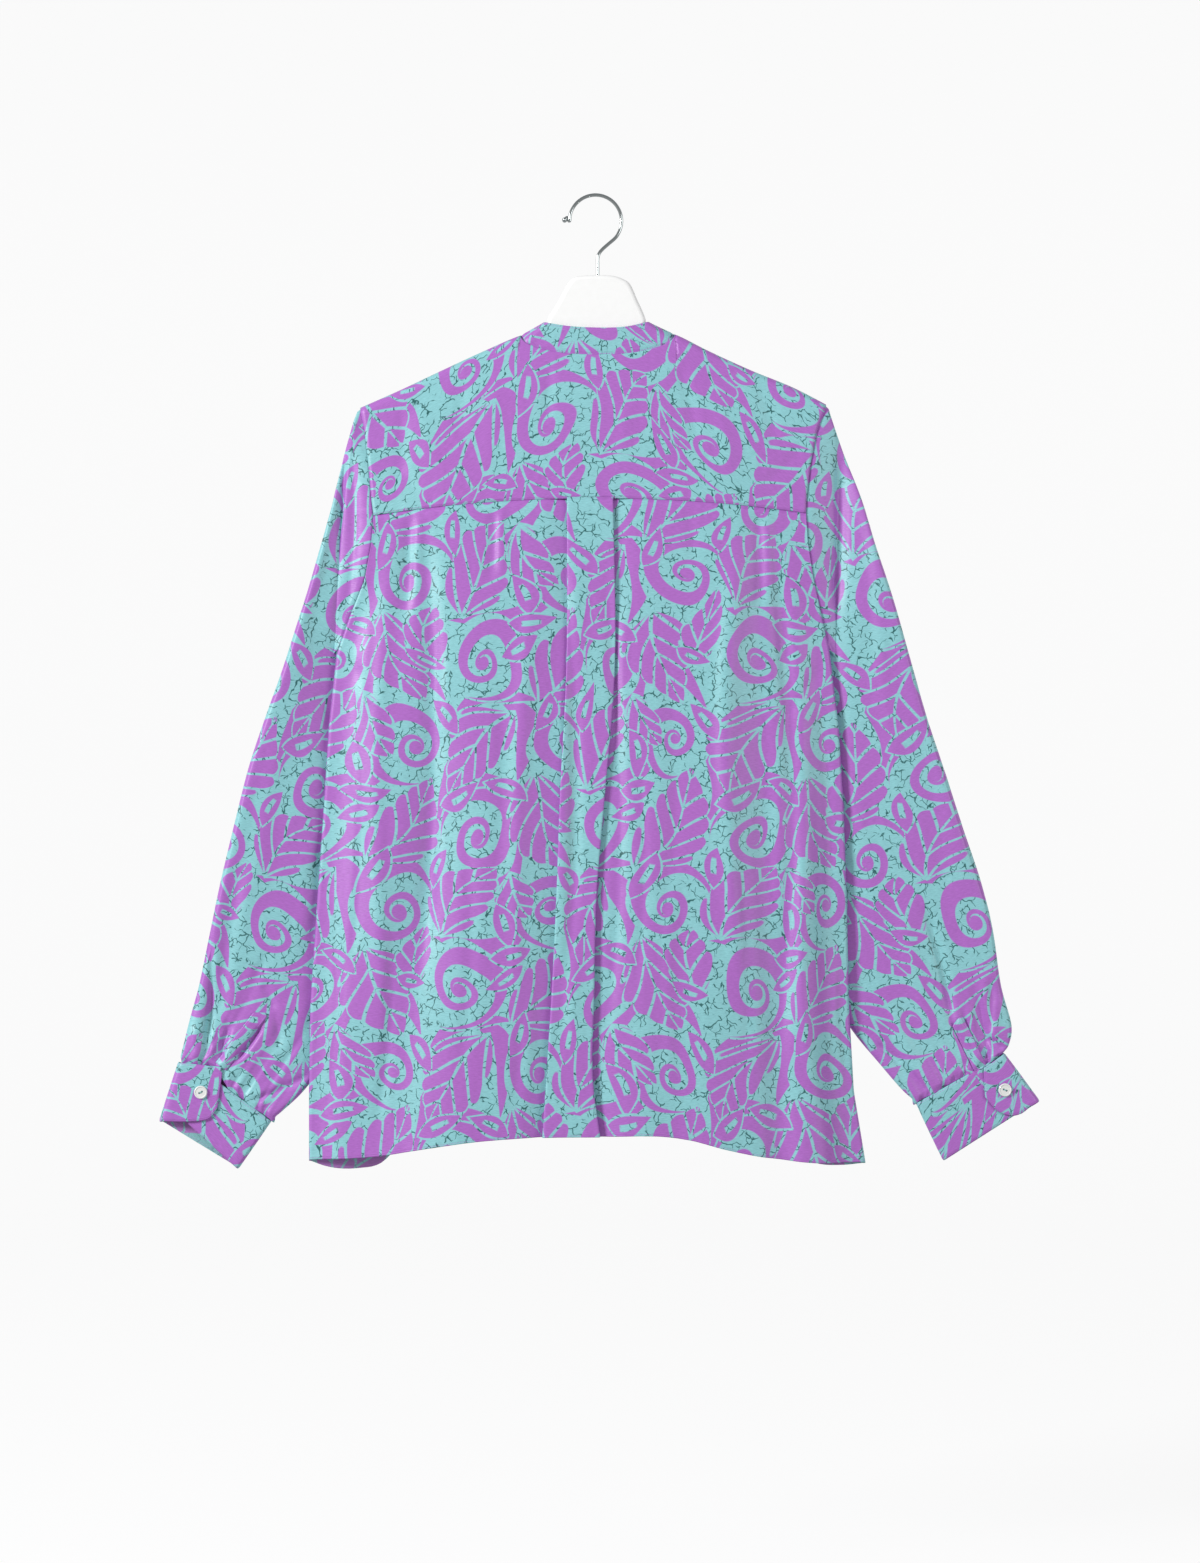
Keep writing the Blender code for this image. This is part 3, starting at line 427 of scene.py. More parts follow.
YOKE_CREASES = (
    (-42, -141, -44, -201, 5, -0.8), (70, -141, 85, -218, 5, -1.0), (136, -149, 154, -218, 6, -1.1),
    (-117, -158, -118, -209, 6, -0.8), (-167, -180, -170, -250, 6, -0.9), (-150, -176, -138, -236, 7, 0.6),
    (30, -170, 22, -245, 7, 0.4), (105, -160, 118, -246, 6, 0.6), (-85, -160, -92, -244, 7, 0.5),
    (-60, -222, 40, -230, 7, -0.35), (-190, -222, -150, -256, 5, -0.6), (178, -215, 140, -252, 5, -0.5),
)
FRONT_CREASES = (
    (110, -230, 122, -460, 7, 0.9), (92, -300, 98, -560, 6, -0.8), (150, -420, 160, -700, 6, -0.9),
    (60, -260, 64, -430, 5, -0.6), (48, -520, 52, -760, 6, 0.6), (180, -520, 196, -780, 5, 0.8),
    (130, -600, 141, -780, 5, -0.7), (26, -640, 30, -780, 4, 0.4), (196, -400, 158, -452, 5, -0.6),
    (84, -640, 118, -676, 6, -0.35), (168, -300, 176, -380, 6, -0.6),
)
print("creases laid on the back:", len(BACK_CREASES) + len(YOKE_CREASES))

# %% [markdown]
# ## Back panel
# The back is one width of cloth below the yoke. Two folds bring a band of it forward in the
# middle: the box pleat. One row of the sheet is a section across the body: in from the left side
# seam, round the fold, across the face of the pleat, round the other fold and out to the right. The
# pleat could be a strip laid on top, but only cloth that is folded shows its layers at the hem.

# %% Back panel
FLANK, FACE, TURN = 96, 30, 7  # columns of a flank, of the pleat's face, round a fold
SIDE_SEAM = 0.9
BACK_DIP = (0, 0.65, 1.8)  # how far its top edge goes in and up under the yoke


def half_turn(x, low, high, side):
    """Half a circle between two layers of a fold: place across, step out."""
    angle = np.linspace(0, math.pi, TURN + 1)[1:-1]
    middle, radius = (low + high) / 2, (high - low) / 2
    return x + side * abs(radius) * np.sin(angle), middle - radius * np.cos(angle)


def flank(start, end, fold, step, inward):
    """From the side seam to the fold's root, first in short steps round the soft edge."""
    f = np.linspace(0, 1, FLANK)
    part = 0.12 * f + 0.88 * f**1.25
    x = start + (end - start) * part
    return x, step * ease((inward * (x - fold) + PLEAT_SETTLE) / PLEAT_SETTLE)


def back_section(z):
    """Places across and steps out for rows at heights z, as two arrays of rows by columns."""
    z = z[:, None]
    left, right = side_edge(z, -1), side_edge(z, 1)
    fold_l, fold_r, under, step = (along(z, BOX_PLEAT, k) for k in (1, 2, 3, 4))
    turn, zero = step / 2, 0 * step
    root_l, root_r = fold_l + under - turn, fold_r - under + turn
    edge_l, edge_r = fold_l + turn, fold_r - turn
    face = edge_l + (edge_r - edge_l) * np.linspace(0, 1, FACE)
    parts = [
        flank(left, root_l, fold_l, step, 1), half_turn(root_l, step, zero, 1),
        (root_l, zero), (edge_l, zero), half_turn(edge_l, zero, -step, -1),
        (face, -step + 0 * face), half_turn(edge_r, -step, zero, 1),
        (edge_r, zero), (root_r, zero), half_turn(root_r, zero, step, -1),
    ]
    x, out = flank(right, root_r, fold_r, step, -1)
    parts.append((x[:, ::-1], out[:, ::-1]))
    return np.hstack([p[0] for p in parts]), np.hstack([p[1] for p in parts])


levels = np.concatenate([np.linspace(YOKE_SIDE, -822, 128), np.linspace(-823.5, HEM_LEVEL, 6)])
x, out = back_section(levels)
t = ((levels - YOKE_SIDE) / (HEM_LEVEL - YOKE_SIDE))[:, None]
to_seam = (yoke_seam(x) - YOKE_SIDE - SEAM) * (1 - t) ** 3
z = levels[:, None] + to_seam + (along(x, BACK_HEM) - HEM_LEVEL) * t**3
y = back_y(x, levels[:, None] + 0 * x) + out
y[:, [0, -1]] -= SIDE_SEAM / 2
back = np.stack([x, y, z], -1)
from_side = np.minimum(x - x[:, :1], x[:, -1:] - x)
height = BACK_CREASE_SCALE * creases(x, z, BACK_CREASES) * ease(from_side / 12)
height += pucker(x * 1.1, yoke_seam(x) - z) + pucker(z, from_side, 7, 0.25) * ease(from_side / 4)
height += pucker(x * 0.8 + 9, z - along(x, BACK_HEM), 9, 0.4)
back[..., 1] -= height * ease((yoke_seam(x) - z) / HIDE)
tuck = ease(1 - (yoke_seam(x) - z) / HIDE)
back += tuck[..., None] * BACK_DIP
across = run_length(back, 1)
middle = across[:, across.shape[1] // 2][:, None]
back_uv = np.stack([across - middle, z], -1) + PRINT_START["back"]
hem_distance = z - z[-1]
cloth("back_panel_cloth", back, back_uv, hem_distance, "back_panel", facing=(0, -1, 0))

# %% [markdown]
# ## Yoke
# The yoke is one piece of cloth over both shoulders. It runs from the back seam over the arms of
# the hanger to the front seams, with the neck cut out of it. Each column starts on the back seam
# and ends at the neck or at a front seam; the cloth's own coordinate is the distance over the top.
# A flat sheet could be draped on the hanger by simulation. Columns that end on the seams keep the
# edges exact, which matters more here than a free drape.

# %% Yoke
NECK_HALF, NECK_BACK, NECK_FRONT = 66.0, -137.0, -205.0


def neck_back(theta):
    """Collar seam across the back, from the left neck point at -90 degrees to the right at 90."""
    x = 1 + NECK_HALF * np.sin(theta)
    return x, NECK_BACK + (along(x, SHOULDER) - NECK_BACK) * (1 - np.cos(theta)) ** 1.3


def yoke_columns():
    """Place across at the back seam, then place across and run at the other end."""
    f = np.linspace(0, 1, 40)
    theta = np.radians(np.linspace(-88, 88, 70))
    x, z = neck_back(theta)
    to_seam = {}
    for side, g in ((-1, f), (1, f[::-1])):
        back_x = seam_place(g, BACK_SEAM_ENDS[side])
        front_x = seam_place(g, FRONT_SEAM_ENDS[side])
        to_seam[side] = np.stack([back_x, front_x, 0 * g + FRONT_YOKE])
    # four columns round each neck point: place at the back seam, place and run at the neck
    left_neck = np.array([[-77.5, -75, -72, -69], [-63.5, -65, -65.3, -65.5], [20, RIDGE_ARC, 5, 0]])
    middle = np.stack([64 * theta / (math.pi / 2), x, z - along(x, SHOULDER) - RIDGE_ARC + RIDGE_RADIUS])
    right_neck = np.array([[69, 72, 75, 77.5], [67.5, 67.3, 67, 65.5], [0, 5, RIDGE_ARC, 20]])
    return np.hstack([to_seam[-1], left_neck, middle, right_neck, to_seam[1]])


low_x, high_x, high_s = yoke_columns()
low_s = yoke_seam(low_x) + SEAM / 2 - along(low_x, SHOULDER) - RIDGE_ARC + RIDGE_RADIUS
hang = np.linspace(0, 1, 46)[:, None]
turn = np.linspace(-1, 1, 19)[1:, None] * RIDGE_ARC
hang_rows = low_s * (1 - hang) - RIDGE_ARC * hang
s = np.vstack([hang_rows, turn + 0 * low_s, np.linspace(RIDGE_ARC, FRONT_YOKE, 9)[1:, None] + 0 * low_s])
f = (s - low_s) / (FRONT_YOKE - low_s)
s = low_s + (high_s - low_s) * f
x = low_x + (high_x - low_x) * f
for column, side in ((0, -1), (-1, 1)):
    line = x[:, column]
    for _ in range(6):
        line = side_edge(over_shoulder(line, s[:, column])[:, 2], side)
    near = np.clip(1 - np.abs(x - x[:, [column]]) / 18, 0, 1)
    x = x + (line - x[:, column])[:, None] * near
yoke = over_shoulder(x, s)
seam_below = yoke[..., 2] - yoke_seam(x)
hanging = ease((-s - RIDGE_ARC) / 12)
height = YOKE_CREASE_SCALE * creases(x, yoke[..., 2], YOKE_CREASES)
height += pucker(x * 0.9 + 4, np.abs(seam_below)) * ease(seam_below / HIDE)
yoke[..., 1] -= height * hanging + 0.12 * hanging * ease(1 - seam_below / 4)
over_top = s + float(along(0.0, SHOULDER)) + RIDGE_ARC - RIDGE_RADIUS
yoke_uv = np.stack([x, over_top], -1) + PRINT_START["yoke"]
cloth("back_yoke_cloth", yoke, yoke_uv, np.abs(seam_below), "back_yoke", facing=(0, 0, 1))

# %% [markdown]
# ## Fronts
# The two fronts hang from the yoke's front seams, curve round the neck and lap by 12 mm each at
# the middle, the right one on top. Every column keeps its share of the width from the armhole to
# the middle, so the columns follow both edges. A plain grid could be cut to the outline instead,
# but its steps would show along the neck and the hem.

# %% Fronts
NECK_PSI = np.radians(np.linspace(0, 90, 36))


def front_neckline(psi):
    """Quarter of an ellipse from the yoke's front seam down to the middle."""
    half = -FRONT_SEAM_ENDS[-1][1]
    top = float(front_seam(-half))
    return half * np.cos(psi), top + (NECK_FRONT - top) * np.sin(psi)


def lap_step(x, side):
    """The right front steps away from the body near the middle, where it laps over the left."""
    return LAP_DEPTH * ease((LAP_FROM - x) / LAP_RAMP) * (side > 0)


def front_sheet(side):
    """Points of a front: the tops of its columns, carried down by equal shares to the hem."""
    f = np.concatenate([[0, 0.0025, 0.009, 0.018], np.linspace(0.035, 1, 44)])
    seam_x = seam_place(f, FRONT_SEAM_ENDS[side])
    seam_z = front_seam(seam_x)
    neck_x, neck_z = front_neckline(NECK_PSI[1:])
    top_x = np.concatenate([seam_x, side * neck_x, -side * LAP * np.linspace(0.2, 1, 5)])
    top_z = np.concatenate([seam_z, neck_z, np.full(5, NECK_FRONT)])
    edge = side_edge(top_z, side)
    part = np.maximum((top_x - edge) / (-side * LAP - edge), 0)
    part[0] = 0
    foot = side_edge(HEM_LEVEL, side)
    hem = along(foot + part * (-side * LAP - foot), FRONT_HEM)
    steps = np.concatenate([np.linspace(0, 0.985, 104), np.linspace(0.988, 1, 5)])[:, None]
    z = top_z + (hem - top_z) * steps
    edge = side_edge(z, side)
    x = edge + part * (-side * LAP - edge)
    y = front_y(x, z) + lap_step(x, side)
    y[:, 0] += SIDE_SEAM / 2
    from_edge = np.abs(x - edge)
    height = creases(side * x, z, FRONT_CREASES) * ease(from_edge / 12) * ease((np.abs(x) - 20) / 12)
    y = y + (height + pucker(z, from_edge, 7, 0.2) * ease(from_edge / 4)) * ease((top_z - z) / 15)
    return np.stack([x, y, z], -1), z - hem


for word, side in (("left", -1), ("right", 1)):
    sheet, hem_distance = front_sheet(side)
    uv = sheet[..., [0, 2]] * (-1, 1) + PRINT_START["front"]
    from_middle = np.abs(sheet[..., 0] + side * LAP)
    edge = np.minimum(hem_distance, from_middle + 0 * hem_distance)
    cloth(f"front_{word}_cloth", sheet, uv, edge, f"front_{word}", facing=(0, 1, 0))

# %% [markdown]
# ## Collar band
# A band collar is a low strip that stands round the neck. Its lower edge follows the neckline, its
# upper edge is a smaller ring that leans in over the neck of the hanger. It is a ruled surface
# between the two lines, because a stiffened band bends only one way. An extruded curve would keep
# one height all round, which this one doesn't.

# %% Collar band
BAND_HALF, BAND_DEPTH, BAND_FRONT, BAND_FRONT_DEPTH, BAND_SIDE = 45.5, 9.2, -182.0, 7.4, -124
BAND_SEAM, BAND_CORNER_SEAM = 0.6, 0.8
BAND_DIP_IN, BAND_DIP_DOWN, CORNER_SPREAD, CORNER_REACH = 0.9, 2.2, 2.2, 5
BAND_TOP = ((-45.5, -109), (-29, -112), (2, -114), (26, -113), (45.5, -108.5))


def band_half(side):
    """Lower and upper points of one half, from the lap at the front to the shoulder."""
    psi = np.radians((90, 90, 72, 54, 36, 18, 0))
    x, z = front_neckline(psi)
    x = side * x
    x[0] = -side * LAP
    step = lap_step(x, side)
    low = np.stack([x, front_y(x, z) + step, z], -1)
    top_x = np.where(np.arange(7) < 2, x, side * (BAND_HALF - 1) * np.cos(psi))
    top_z = BAND_SIDE + (BAND_FRONT - BAND_SIDE) * np.sin(psi)
    top = np.stack([top_x, BAND_FRONT_DEPTH + step, top_z], -1)
    crest = over_shoulder(np.full(2, side * 66.0 + 1), np.array([RIDGE_ARC, 0.0]))
    crest_top = np.array([[side * BAND_HALF, 5.6, -113.0], [side * BAND_HALF, 0.0, -108.8]])
    return np.vstack([low, crest]), np.vstack([top, crest_top])


theta = np.radians(np.linspace(-90, 90, 11))[1:-1]
x, z = neck_back(theta)
back_low = np.stack([x, back_y(x, z), z], -1)
top_x = BAND_HALF * np.sin(theta)
back_top = np.stack([top_x, -BAND_DEPTH * np.cos(theta) ** 0.25, along(top_x, BAND_TOP)], -1)
(left_low, left_top), (right_low, right_top) = band_half(-1), band_half(1)
low = np.vstack([left_low, back_low, right_low[::-1]])
top = np.vstack([left_top, back_top, right_top[::-1]])
lean = (top - low) / np.linalg.norm(top - low, axis=1, keepdims=True)
corner = np.abs(np.abs(low[:, 0]) - NECK_HALF) < CORNER_REACH
low = low + lean * np.where(corner, BAND_CORNER_SEAM, BAND_SEAM)[:, None]
rise = np.linspace(0, 1, 22)[:, None, None]
band = resample(low, 240, 0) + (resample(top, 240, 0) - resample(low, 240, 0)) * rise
along_band = run_length(band[:1], 1) + 0 * band[..., 0]
up_band = run_length(band, 0)
band += outward(band) * (pucker(along_band, up_band, 5, 0.3) * ease(up_band / HIDE))[..., None]
tuck = ease(1 - up_band / HIDE)
from_corner = np.abs(band[:1, :, 0]) - NECK_HALF
spread = CORNER_SPREAD * np.sign(band[..., 0]) * np.exp(-((from_corner / CORNER_REACH) ** 2))
dip = np.stack([-spread, BAND_DIP_IN * np.sign(band[..., 1]), BAND_DIP_DOWN + 0 * spread], -1)
band -= tuck[..., None] * dip
edge = np.minimum(up_band[-1] - up_band, up_band)
band_uv = np.stack([along_band, up_band], -1) + PRINT_START["collar"]
cloth("collar_band_cloth", band, band_uv, edge, "collar_band")

# %% [markdown]
# ## Sleeves
# A sleeve hangs as a flattened tube. Its rings lean: at the top they follow the armhole, at the
# wrist the cuff. A table gives each ring's two edges, how deep they lie and half the tube's
# thickness. The wall toward the viewer passes behind the side of the body where the two overlap.
# A bent tube with a bevel would be simpler, but its section is the same all along. Rings of their
# own let the sleeve lie flat, lean and gather.

# %% Sleeve sizes
# outer edge across and up, inner edge across and up, depth of each, half thickness
LEFT_SLEEVE = (
    (-209, -196, -227, -399, -3.0, 6.0, 6.0), (-217, -222, -221, -412, 3.5, 9.5, 4.0),
    (-228, -270, -208, -432, 1.5, 11.5, 5.0), (-240, -313, -193, -464, -0.5, 13.0, 6.0),
    (-255, -360, -185, -504, -1.0, 13.5, 6.0), (-270, -407, -183, -548, -1.0, 13.5, 6.0),
    (-285, -449, -187, -592, -0.5, 13.5, 6.0), (-299, -491, -194, -632, 0.0, 13.0, 6.0),
    (-312, -542, -204, -668, 1.0, 12.5, 6.0), (-324, -592, -214, -700, 2.0, 12.0, 6.0),
    (-333, -635, -225, -726, 3.0, 11.0, 5.5), (-342, -678, -238, -750, 4.0, 10.0, 5.0),
    (-350, -708, -254, -771, 4.0, 8.0, 4.5), (-356, -732, -270, -786, 4.0, 5.0, 4.2),
)
RIGHT_SLEEVE = (
    (203, -194, 206, -402, 1.0, 6.0, 5.5), (213, -222, 198, -420, 3.5, 9.5, 4.0),
    (228, -261, 188, -452, 0.0, 11.5, 5.0), (241, -304, 180, -482, -2.0, 13.0, 6.0),
    (256, -350, 176, -512, -2.0, 13.5, 6.0), (270, -399, 175, -545, -1.0, 13.5, 6.0),
    (284, -448, 178, -578, -0.5, 13.5, 6.0), (299, -493, 183, -612, 0.0, 13.0, 6.0),
    (315, -542, 190, -643, 1.0, 12.5, 6.0), (331, -590, 198, -672, 2.0, 12.0, 6.0),
    (341, -631, 209, -699, 3.0, 11.0, 5.5), (348, -678, 224, -722, 4.0, 10.0, 5.0),
    (357, -712, 244, -746, 4.0, 8.0, 4.5), (355, -729, 263, -768, 4.0, 5.0, 4.2),
)
# top and bottom of the outer fold, of the inner fold and of the hidden layer's end; the tab's top
# corner and lower edge (share of the way, across, up); how far the sleeve climbs to the tab
LEFT_CUFF = {
    "outer": ((-359.5, -744.5), (-376, -795)), "inner": ((-280.3, -794.7), (-309, -836)),
    "hidden": ((-337, -753), (-352, -797)), "tab_top": (-321, -748.5),
    "tab_edge": (
        (0, -376, -795), (0.4, -357, -795.5), (0.65, -344, -795), (0.85, -332, -792), (1, -326, -784),
    ),
    "rise": ((0, 0), (0.2, 9), (0.32, 11), (0.42, 7), (0.5, 3), (1, 0)),
}
RIGHT_CUFF = {
    "outer": ((350.5, -737), (381, -778)), "inner": ((275.5, -779.5), (299, -829)),
    "hidden": ((338, -744.5), (363, -788)), "tab_top": (333, -749.5),
    "tab_edge": ((0, 381, -778), (0.3, 371, -784), (0.55, 361, -790), (0.8, 346, -787), (1, 334, -774)),
    "rise": ((0, 0), (0.25, -1), (0.5, 0), (1, 0)),
}
CUFF_TAB_DEPTH, CUFF_HIDDEN_DEPTH, CUFF_FAR_DEPTH, CUFF_MIDDLE, CUFF_HALF = -0.8, 1.2, 8.0, 4.0, 4.0
# share of the way across, half width, how far each stands out
GATHERS = (
    (0.1, 0.05, 1.6), (0.24, 0.045, -1.6), (0.36, 0.05, 1.4), (0.64, 0.045, -1.4),
    (0.76, 0.05, 1.6), (0.9, 0.045, -1.2),
)
FINE_GATHERS = (
    (0.05, 0.018, -0.9), (0.165, 0.016, -1.0), (0.2, 0.014, 0.7), (0.3, 0.016, -0.8), (0.41, 0.014, -0.9),
    (0.47, 0.016, 0.8), (0.535, 0.018, -1.0), (0.585, 0.014, 0.7), (0.7, 0.016, 0.7), (0.82, 0.016, -0.9),
    (0.86, 0.014, 0.6), (0.95, 0.016, 0.7),
)
SLEEVE_STEPS, ARM_SEAM, SLEEVE_CLEARANCE, SLEEVE_COMES_OUT, THINNEST_SLEEVE = 12, 1.1, 2.8, 0.36, 4.4
GATHER_FADE = (0, 0, 0, 0, 0, 0, 0, 0, 0, 0, 0.1, 0.3, 0.6, 0.9, 1)
RISE_FADE = (0, 0, 0, 0, 0, 0, 0, 0, 0, 0.05, 0.12, 0.25, 0.45, 0.7, 1)
print("sleeve rings:", len(LEFT_SLEEVE) + 2)

# %% Sleeve rings
def behind_body(x, z, side):
    """Least depth at which a sleeve passes behind the body's edge, easing off beside it."""
    edge = side_edge(z, side)
    inside = (x - edge) * -side
    clear = np.maximum(front_y(np.where(inside > 0, x, edge), z), SIDE_RADIUS) + SLEEVE_CLEARANCE
    return clear + np.minimum(inside, 0) * SLEEVE_COMES_OUT


def end_turn(centre, direction, radius, near, far, reach):
    """Three points of a half circle round the end of a flattened tube."""
    a = np.radians([-45, 0, 45])
    flat = centre + direction * (radius * np.cos(a) * reach)[:, None]
    return np.stack([flat[:, 0], (near + far) / 2 + (far - near) / 2 * np.sin(a), flat[:, 1]], -1)


def sleeve_ring(row, side, gather, rise, climb, tuck):
    """One ring: near wall out to in, round the inner edge, far wall back, round the outer edge."""
    outer, inner = np.array(row[:2], float), np.array(row[2:4], float)
    outer_y, inner_y, half = row[4:]
    length = np.linalg.norm(inner - outer)
    direction = (inner - outer) / length
    up = np.array([-direction[1], direction[0]]) * (1 if direction[0] > 0 else -1)
    part = np.linspace(half / length, 1 - half / length, SLEEVE_STEPS + 1)
    flat = outer + direction * (part * length)[:, None]
    middle = outer_y + (inner_y - outer_y) * part**0.75
    bump = sum(h * np.exp(-(((part - c) / w) ** 2)) for c, w, h in GATHERS) * gather
    near = middle - half - bump
    near = near + np.maximum(behind_body(flat[:, 0], flat[:, 1], side) - near, 0) * ease(part * tuck)
    far = np.maximum(middle + half + 0.6 * bump, near + THINNEST_SLEEVE)
    front = flat + up * (straight(part, rise) * climb)[:, None]
    near_wall = np.stack([front[:, 0], near, front[:, 1]], -1)
    far_wall = np.stack([flat[:, 0], far, flat[:, 1]], -1)[::-1]
    turns = [end_turn(flat[-1], direction, half, near[-1], far[-1], 1),
             end_turn(flat[0], direction, half, near[0], far[0], -1)[::-1]]
    return np.vstack([near_wall, turns[0], far_wall, turns[1]])


def armhole_ring(side):
    """The first ring, just outside the armhole edges of the yoke, the back and the front."""
    top = float(along(SHOULDER[0 if side < 0 else -1][0], SHOULDER))
    z = np.linspace(top - RIDGE_RADIUS, UNDERARM + 12, SLEEVE_STEPS + 1)
    x = side_edge(z, side)
    foot, head = side_edge(UNDERARM, side), side_edge(top, side)
    turn = np.array([(foot, -1.2, UNDERARM + 4), (foot, 0, UNDERARM + 1), (foot, 1.2, UNDERARM + 4)])
    a = np.radians([45, 0, -45])
    crest = np.stack([head + 0 * a, RIDGE_RADIUS * np.sin(a), top - RIDGE_RADIUS * (1 - np.cos(a))], -1)
    near, far = np.stack([x, back_y(x, z), z], -1), np.stack([x, front_y(x, z), z], -1)[::-1]
    return np.vstack([near, turn, far, crest]) + [side * ARM_SEAM, 0, 0]


def sleeve_rings(side, table, cuff):
    """All rings; the last stands just above the cuff."""
    outer, inner = np.array(cuff["outer"][0]), np.array(cuff["inner"][0])
    length = np.linalg.norm(inner - outer)
    up = np.array([abs(inner[1] - outer[1]) * -side, abs(inner[0] - outer[0])]) / length * ARM_SEAM
    last = (*(outer + up), *(inner + up), CUFF_MIDDLE, CUFF_MIDDLE, CUFF_HALF)
    rings = [armhole_ring(side)]
    for k, (row, gather, rise) in enumerate(zip((*table, last), GATHER_FADE, RISE_FADE)):
        rings.append(sleeve_ring(row, side, gather, cuff["rise"], rise, 1 if k == 0 else 3))
    return np.array(rings)


print("points in a ring:", sleeve_rings(-1, LEFT_SLEEVE, LEFT_CUFF).shape[1])

# %% [markdown]
# The rings carry the print round the arm: the cloth's own coordinate runs across the sleeve on the
# near wall, turns at the outer edge and runs back on the far wall, up to the seam at the inner
# edge. Fine gathers and long creases are raised along the normals of the finished surface.

# %% Sleeves
SLEEVE_ROWS, SLEEVE_COLUMNS = 170, 220
CUFF_DIP, ARMHOLE_DIP = 3.4, 2.6  # how far the ends run on into the cuff and under the body's cloth
SLEEVE_AXIS = (-0.235, 0.972)  # direction of the cloth's own length, up a sleeve
LEFT_SLEEVE_CREASES = (
    (-307, -560, -337, -734, 9, -2.6), (-292, -560, -318, -720, 7, 1.4), (-212, -196, -216, -372, 4, -1.8),
    (-219, -230, -223, -360, 4, 1.0), (-240, -300, -262, -520, 8, -1.0), (-262, -420, -292, -620, 8, 0.9),
    (-232, -520, -262, -700, 7, -0.9), (-280, -640, -330, -742, 5, -1.4), (-262, -690, -312, -764, 5, 1.2),
    (-250, -716, -296, -774, 4, -1.1), (-322, -640, -346, -738, 5, 1.5), (-244, -420, -216, -470, 6, -0.8),
    (-262, -500, -214, -560, 6, -0.5), (-330, -640, -300, -690, 6, -0.6), (-226, -260, -246, -352, 6, 0.8),
    (-287, -711, -312, -745, 2.2, -4.4), (-288, -674, -277, -702, 3.4, -2.0),
    (-278, -698, -273, -736, 3.4, -1.8), (-246, -754, -276, -769, 3, -1.8),
    (-270, -767, -306, -780, 3, -2.2), (-332, -640, -337, -744, 2.6, -3.4),
    (-316, -706, -328, -748, 2.8, -2.6), (-324, -722, -322, -744, 2, -1.6), (-345, -712, -343, -744, 4, 1.4),
    (-329, -716, -331, -746, 2.8, 1.3), (-334, -626, -339, -702, 4.5, -1.8),
)
RIGHT_SLEEVE_CREASES = (
    (280, -604, 308, -720, 4, -4.2), (312, -740, 336, -770, 4, -1.8), (262, -600, 294, -730, 7, 1.4),
    (322, -668, 330, -740, 4, -1.5), (334, -660, 342, -736, 4, 1.3), (244, -706, 268, -760, 5, -1.5),
    (252, -690, 290, -776, 5, 1.2), (240, -300, 268, -540, 8, 1.0), (222, -260, 236, -420, 7, -1.0),
    (206, -210, 205, -372, 5, -1.8), (270, -420, 300, -640, 8, -0.9), (222, -480, 250, -640, 8, 0.9),
    (300, -480, 330, -620, 7, -0.9), (200, -560, 260, -610, 6, -0.5), (226, -420, 258, -470, 6, -0.6),
    (330, -600, 300, -650, 6, -0.5), (327, -680, 336, -758, 2.8, -2.8), (313, -696, 326, -746, 2.8, -2.2),
    (339, -670, 337, -726, 3.2, -2.0), (351, -734, 335, -722, 2.8, -2.4), (240, -728, 264, -748, 3, -2.2),
    (260, -745, 292, -778, 3.2, -2.2), (302, -704, 332, -771, 1.8, -4.2), (320, -690, 331, -752, 3, 1.4),
    (344, -686, 343, -728, 3.4, 1.4), (296, -730, 318, -768, 3, 1.0),
)


